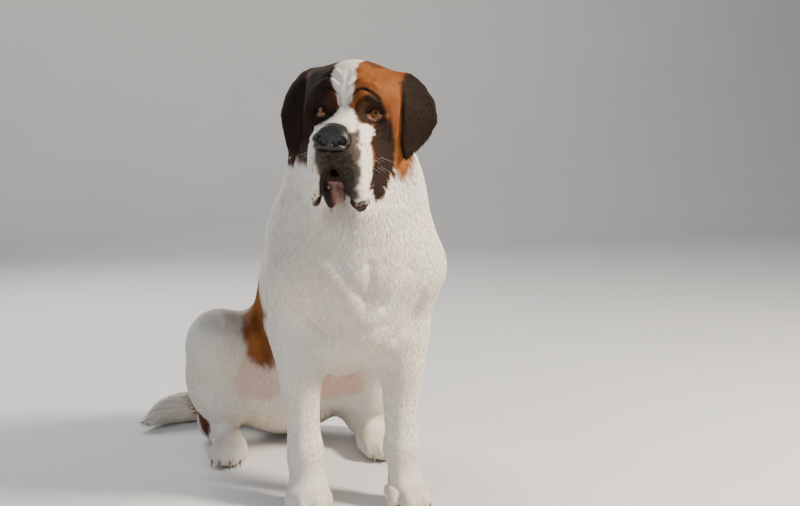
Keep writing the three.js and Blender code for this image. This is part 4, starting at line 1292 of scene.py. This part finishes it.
# %% The eyes
eye_material, tree, shader = principled("eye", 0.06)
ring = node(tree, "ShaderNodeAttribute", attribute_name="from_sight")
ramp = node(tree, "ShaderNodeValToRGB")
ramp.color_ramp.elements[0].position = 0.0
ramp.color_ramp.elements[0].color = (0.004, 0.003, 0.003, 1)
ramp.color_ramp.elements[1].position = 1.0
ramp.color_ramp.elements[1].color = (0.42, 0.12, 0.08, 1)
for stop, tone in (
    (0.19, (0.004, 0.003, 0.003, 1)),
    (0.22, (0.22, 0.070, 0.012, 1)),
    (0.34, (0.52, 0.190, 0.035, 1)),
    (0.44, (0.26, 0.080, 0.016, 1)),
    (0.49, (0.012, 0.007, 0.006, 1)),
    (0.56, (0.34, 0.07, 0.045, 1)),
):
    ramp.color_ramp.elements.new(stop).color = tone
tree.links.new(ring.outputs["Fac"], ramp.inputs["Fac"])
streak = between(tree, texture_noise(tree, object_place(tree), 900), 0.3, 0.7, 0.7, 1.3)
scale = node(tree, "ShaderNodeVectorMath", operation="SCALE")
tree.links.new(ramp.outputs["Color"], scale.inputs[0])
tree.links.new(streak, scale.inputs["Scale"])
tree.links.new(scale.outputs[0], shader.inputs["Base Color"])
shader.inputs["Coat Weight"].default_value = 0.15
shader.inputs["Specular IOR Level"].default_value = 0.3
shader.inputs["Coat Roughness"].default_value = 0.02

SIGHT = Vector((0.2, -1, 0.02)).normalized()
for side, name in ((1, "left_eye"), (-1, "right_eye")):
    centre = middle_of(name)
    sight = head_turn @ (Vector((0.06 * side, 0, 0)) + SIGHT).normalized()
    ball = bmesh.new()
    bmesh.ops.create_uvsphere(ball, u_segments=48, v_segments=32, radius=EYE_RADIUS - 0.3 * MM)
    turn = Vector((0, 0, 1)).rotation_difference(sight).to_matrix()
    spread_from_sight = []
    for vertex in ball.verts:
        angle = vertex.co.angle(Vector((0, 0, 1)))
        spread_from_sight.append(angle / (math.pi / 2))
        bulge = 1 + 0.07 * max(0.0, math.cos(min(angle * 2.0, math.pi / 2)))
        vertex.co = centre + turn @ (vertex.co * bulge)
    eye = settle(ball, name + "ball", eye_material)
    store(eye.data, "from_sight", "FLOAT", spread_from_sight)
    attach(eye, "root")
    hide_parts(name)

# %% [markdown]
# Claws are short, bent, blunt horns, one at each toe. Whiskers are a few stiff pale hairs from the
# upper lip. Both are tapered tubes, so one helper makes them.

# %% Claws
horn, tree, shader = toned("claw_horn", 0.38, 160, (0.05, 0.035, 0.028, 1), (0.34, 0.26, 0.19, 1))
bump(tree, shader, texture_noise(tree, object_place(tree), 700), 0.3, 0.0005)
CLAW_BEND = [(1.04, 10, 24), (1.06, 19, 21), (1.08, 26, 14), (1.09, 31, 4.5)]
CLAW_RADII = np.linspace(5.4, 1.3, 10) * (1, 1, 1, 1, 1, 1, 0.98, 0.94, 0.85, 0.6)
claws = bmesh.new()
for stand in STANDS.values():
    for across, ahead, radius in TOES:
        bend = [(wide, ahead + reach, up) for wide, reach, up in CLAW_BEND]
        line = [on_paw(stand, across * wide, reach, up) for wide, reach, up in smooth_line(bend, 10)]
        tube(claws, line, stand[3] * MM * CLAW_RADII, 10)
for vertex in claws.verts:
    vertex.co.z = max(vertex.co.z, LOWEST)
bmesh.ops.recalc_face_normals(claws, faces=claws.faces)
claw_piece = settle(claws, "claws", horn)

# %% Whiskers
bristle, _, _ = toned("whisker", 0.4, 60, (0.7, 0.66, 0.6, 1), (0.86, 0.84, 0.8, 1))
whiskers = bmesh.new()
for side in (1, -1):
    for i in range(8):
        row, place_in_row = divmod(i, 4)
        root = np.array([(40 + 3 * row) * side, -92 + 15 * place_in_row, -72 - 14 * row], float)
        reach = 30 + 9 * place_in_row + 5 * random_draw.random()
        way = np.array([0.9 * side, 0.2 + 0.12 * place_in_row, -0.25 - 0.1 * row])
        way += 0.3 * (random_draw.random(3) - 0.5)
        line = smooth_line([root - 4 * way, root + way * reach * 0.5, root + way * reach + (0, 4, -6)], 7)
        tube(whiskers, [from_head(*p) for p in line], np.linspace(0.24, 0.06, 7) * MM, 4)
bmesh.ops.recalc_face_normals(whiskers, faces=whiskers.faces)
whisker_piece = settle(whiskers, "whiskers", bristle)
whisker_piece.data.shade_flat()

# %% Every piece rides on the body
SLOTS = {"white_coat": [skin, whisker_piece, *coat], "nose_skin": [nose, claw_piece]}
for slot_name, pieces in SLOTS.items():
    for piece in pieces:
        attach(piece, "root")
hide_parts(*flesh_nodes)
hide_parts("nose")

# %% [markdown]
# The studio: a pale floor that curves up behind, one warm key from the photo's sunny side, a wide cool
# fill from the other, and a soft rim. The camera stands where the photographer stood.

# %% Floor and light
floor_material, _, _ = toned("studio_floor", 0.8, 3, (0.66, 0.66, 0.65, 1), (0.72, 0.71, 0.70, 1))
WIDE, NEAR, FAR, HIGH, BEND = 9, -5, 5.5, 5, 1.6
profile = [(NEAR, 0), (FAR - BEND, 0)]
for a in np.linspace(0.1, math.pi / 2, 12):
    profile.append((FAR - BEND + BEND * math.sin(a), BEND - BEND * math.cos(a)))
profile += [(FAR, HIGH)]
corners = [(x, y, z) for y, z in profile for x in (-WIDE, WIDE)]
strips = [(2 * i, 2 * i + 1, 2 * i + 3, 2 * i + 2) for i in range(len(profile) - 1)]
studio = new_piece("studio_sweep", corners, strips, floor_material)

world = bpy.data.worlds.new("studio")
bpy.context.scene.world = world
world.use_nodes = True
world.node_tree.nodes["Background"].inputs[0].default_value = (0.80, 0.87, 1.0, 1)
world.node_tree.nodes["Background"].inputs[1].default_value = 0.32


def area_light(name, place, aim, size, power, colour):
    data = bpy.data.lights.new(name, "AREA")
    data.size = size
    data.energy = power
    data.color = colour
    light = bpy.data.objects.new(name, data)
    bpy.context.scene.collection.objects.link(light)
    light.location = place
    light.rotation_mode = "QUATERNION"
    light.rotation_quaternion = (Vector(aim) - Vector(place)).to_track_quat("-Z", "Y")


chest_point = from_body(0, 0, 550)
area_light("key", (2.7, -1.9, 2.5), chest_point, 0.7, 330, (1.0, 0.90, 0.76))
area_light("fill", (-2.8, -1.8, 1.6), chest_point, 4.0, 52, (0.80, 0.89, 1.0))
area_light("rim", (-0.8, 2.8, 2.4), chest_point, 1.6, 80, (1.0, 0.97, 0.92))

# %% The camera
CAMERA_AZIMUTH = -16
CAMERA_AWAY = 2.25
CAMERA_HEIGHT = 0.85
CAMERA_PITCH = 7.5
CAMERA_ASIDE = 2.07
LENS = 48.5

azimuth = math.radians(CAMERA_AZIMUTH)
camera_data = bpy.data.cameras.new("camera")
camera = bpy.data.objects.new("camera", camera_data)
bpy.context.scene.collection.objects.link(camera)
bpy.context.scene.camera = camera
paws_middle = from_body(0, -30, 0)
camera.location = (
    paws_middle.x + math.sin(azimuth) * CAMERA_AWAY,
    paws_middle.y - math.cos(azimuth) * CAMERA_AWAY,
    CAMERA_HEIGHT,
)
aim = azimuth - math.radians(CAMERA_ASIDE)
pitch = math.radians(CAMERA_PITCH)
look = Vector((-math.sin(aim) * math.cos(pitch), math.cos(aim) * math.cos(pitch), -math.sin(pitch)))
camera.rotation_mode = "QUATERNION"
camera.rotation_quaternion = look.to_track_quat("-Z", "Y")
camera_data.lens = LENS
camera_data.sensor_width = 36
camera_data.clip_end = 60
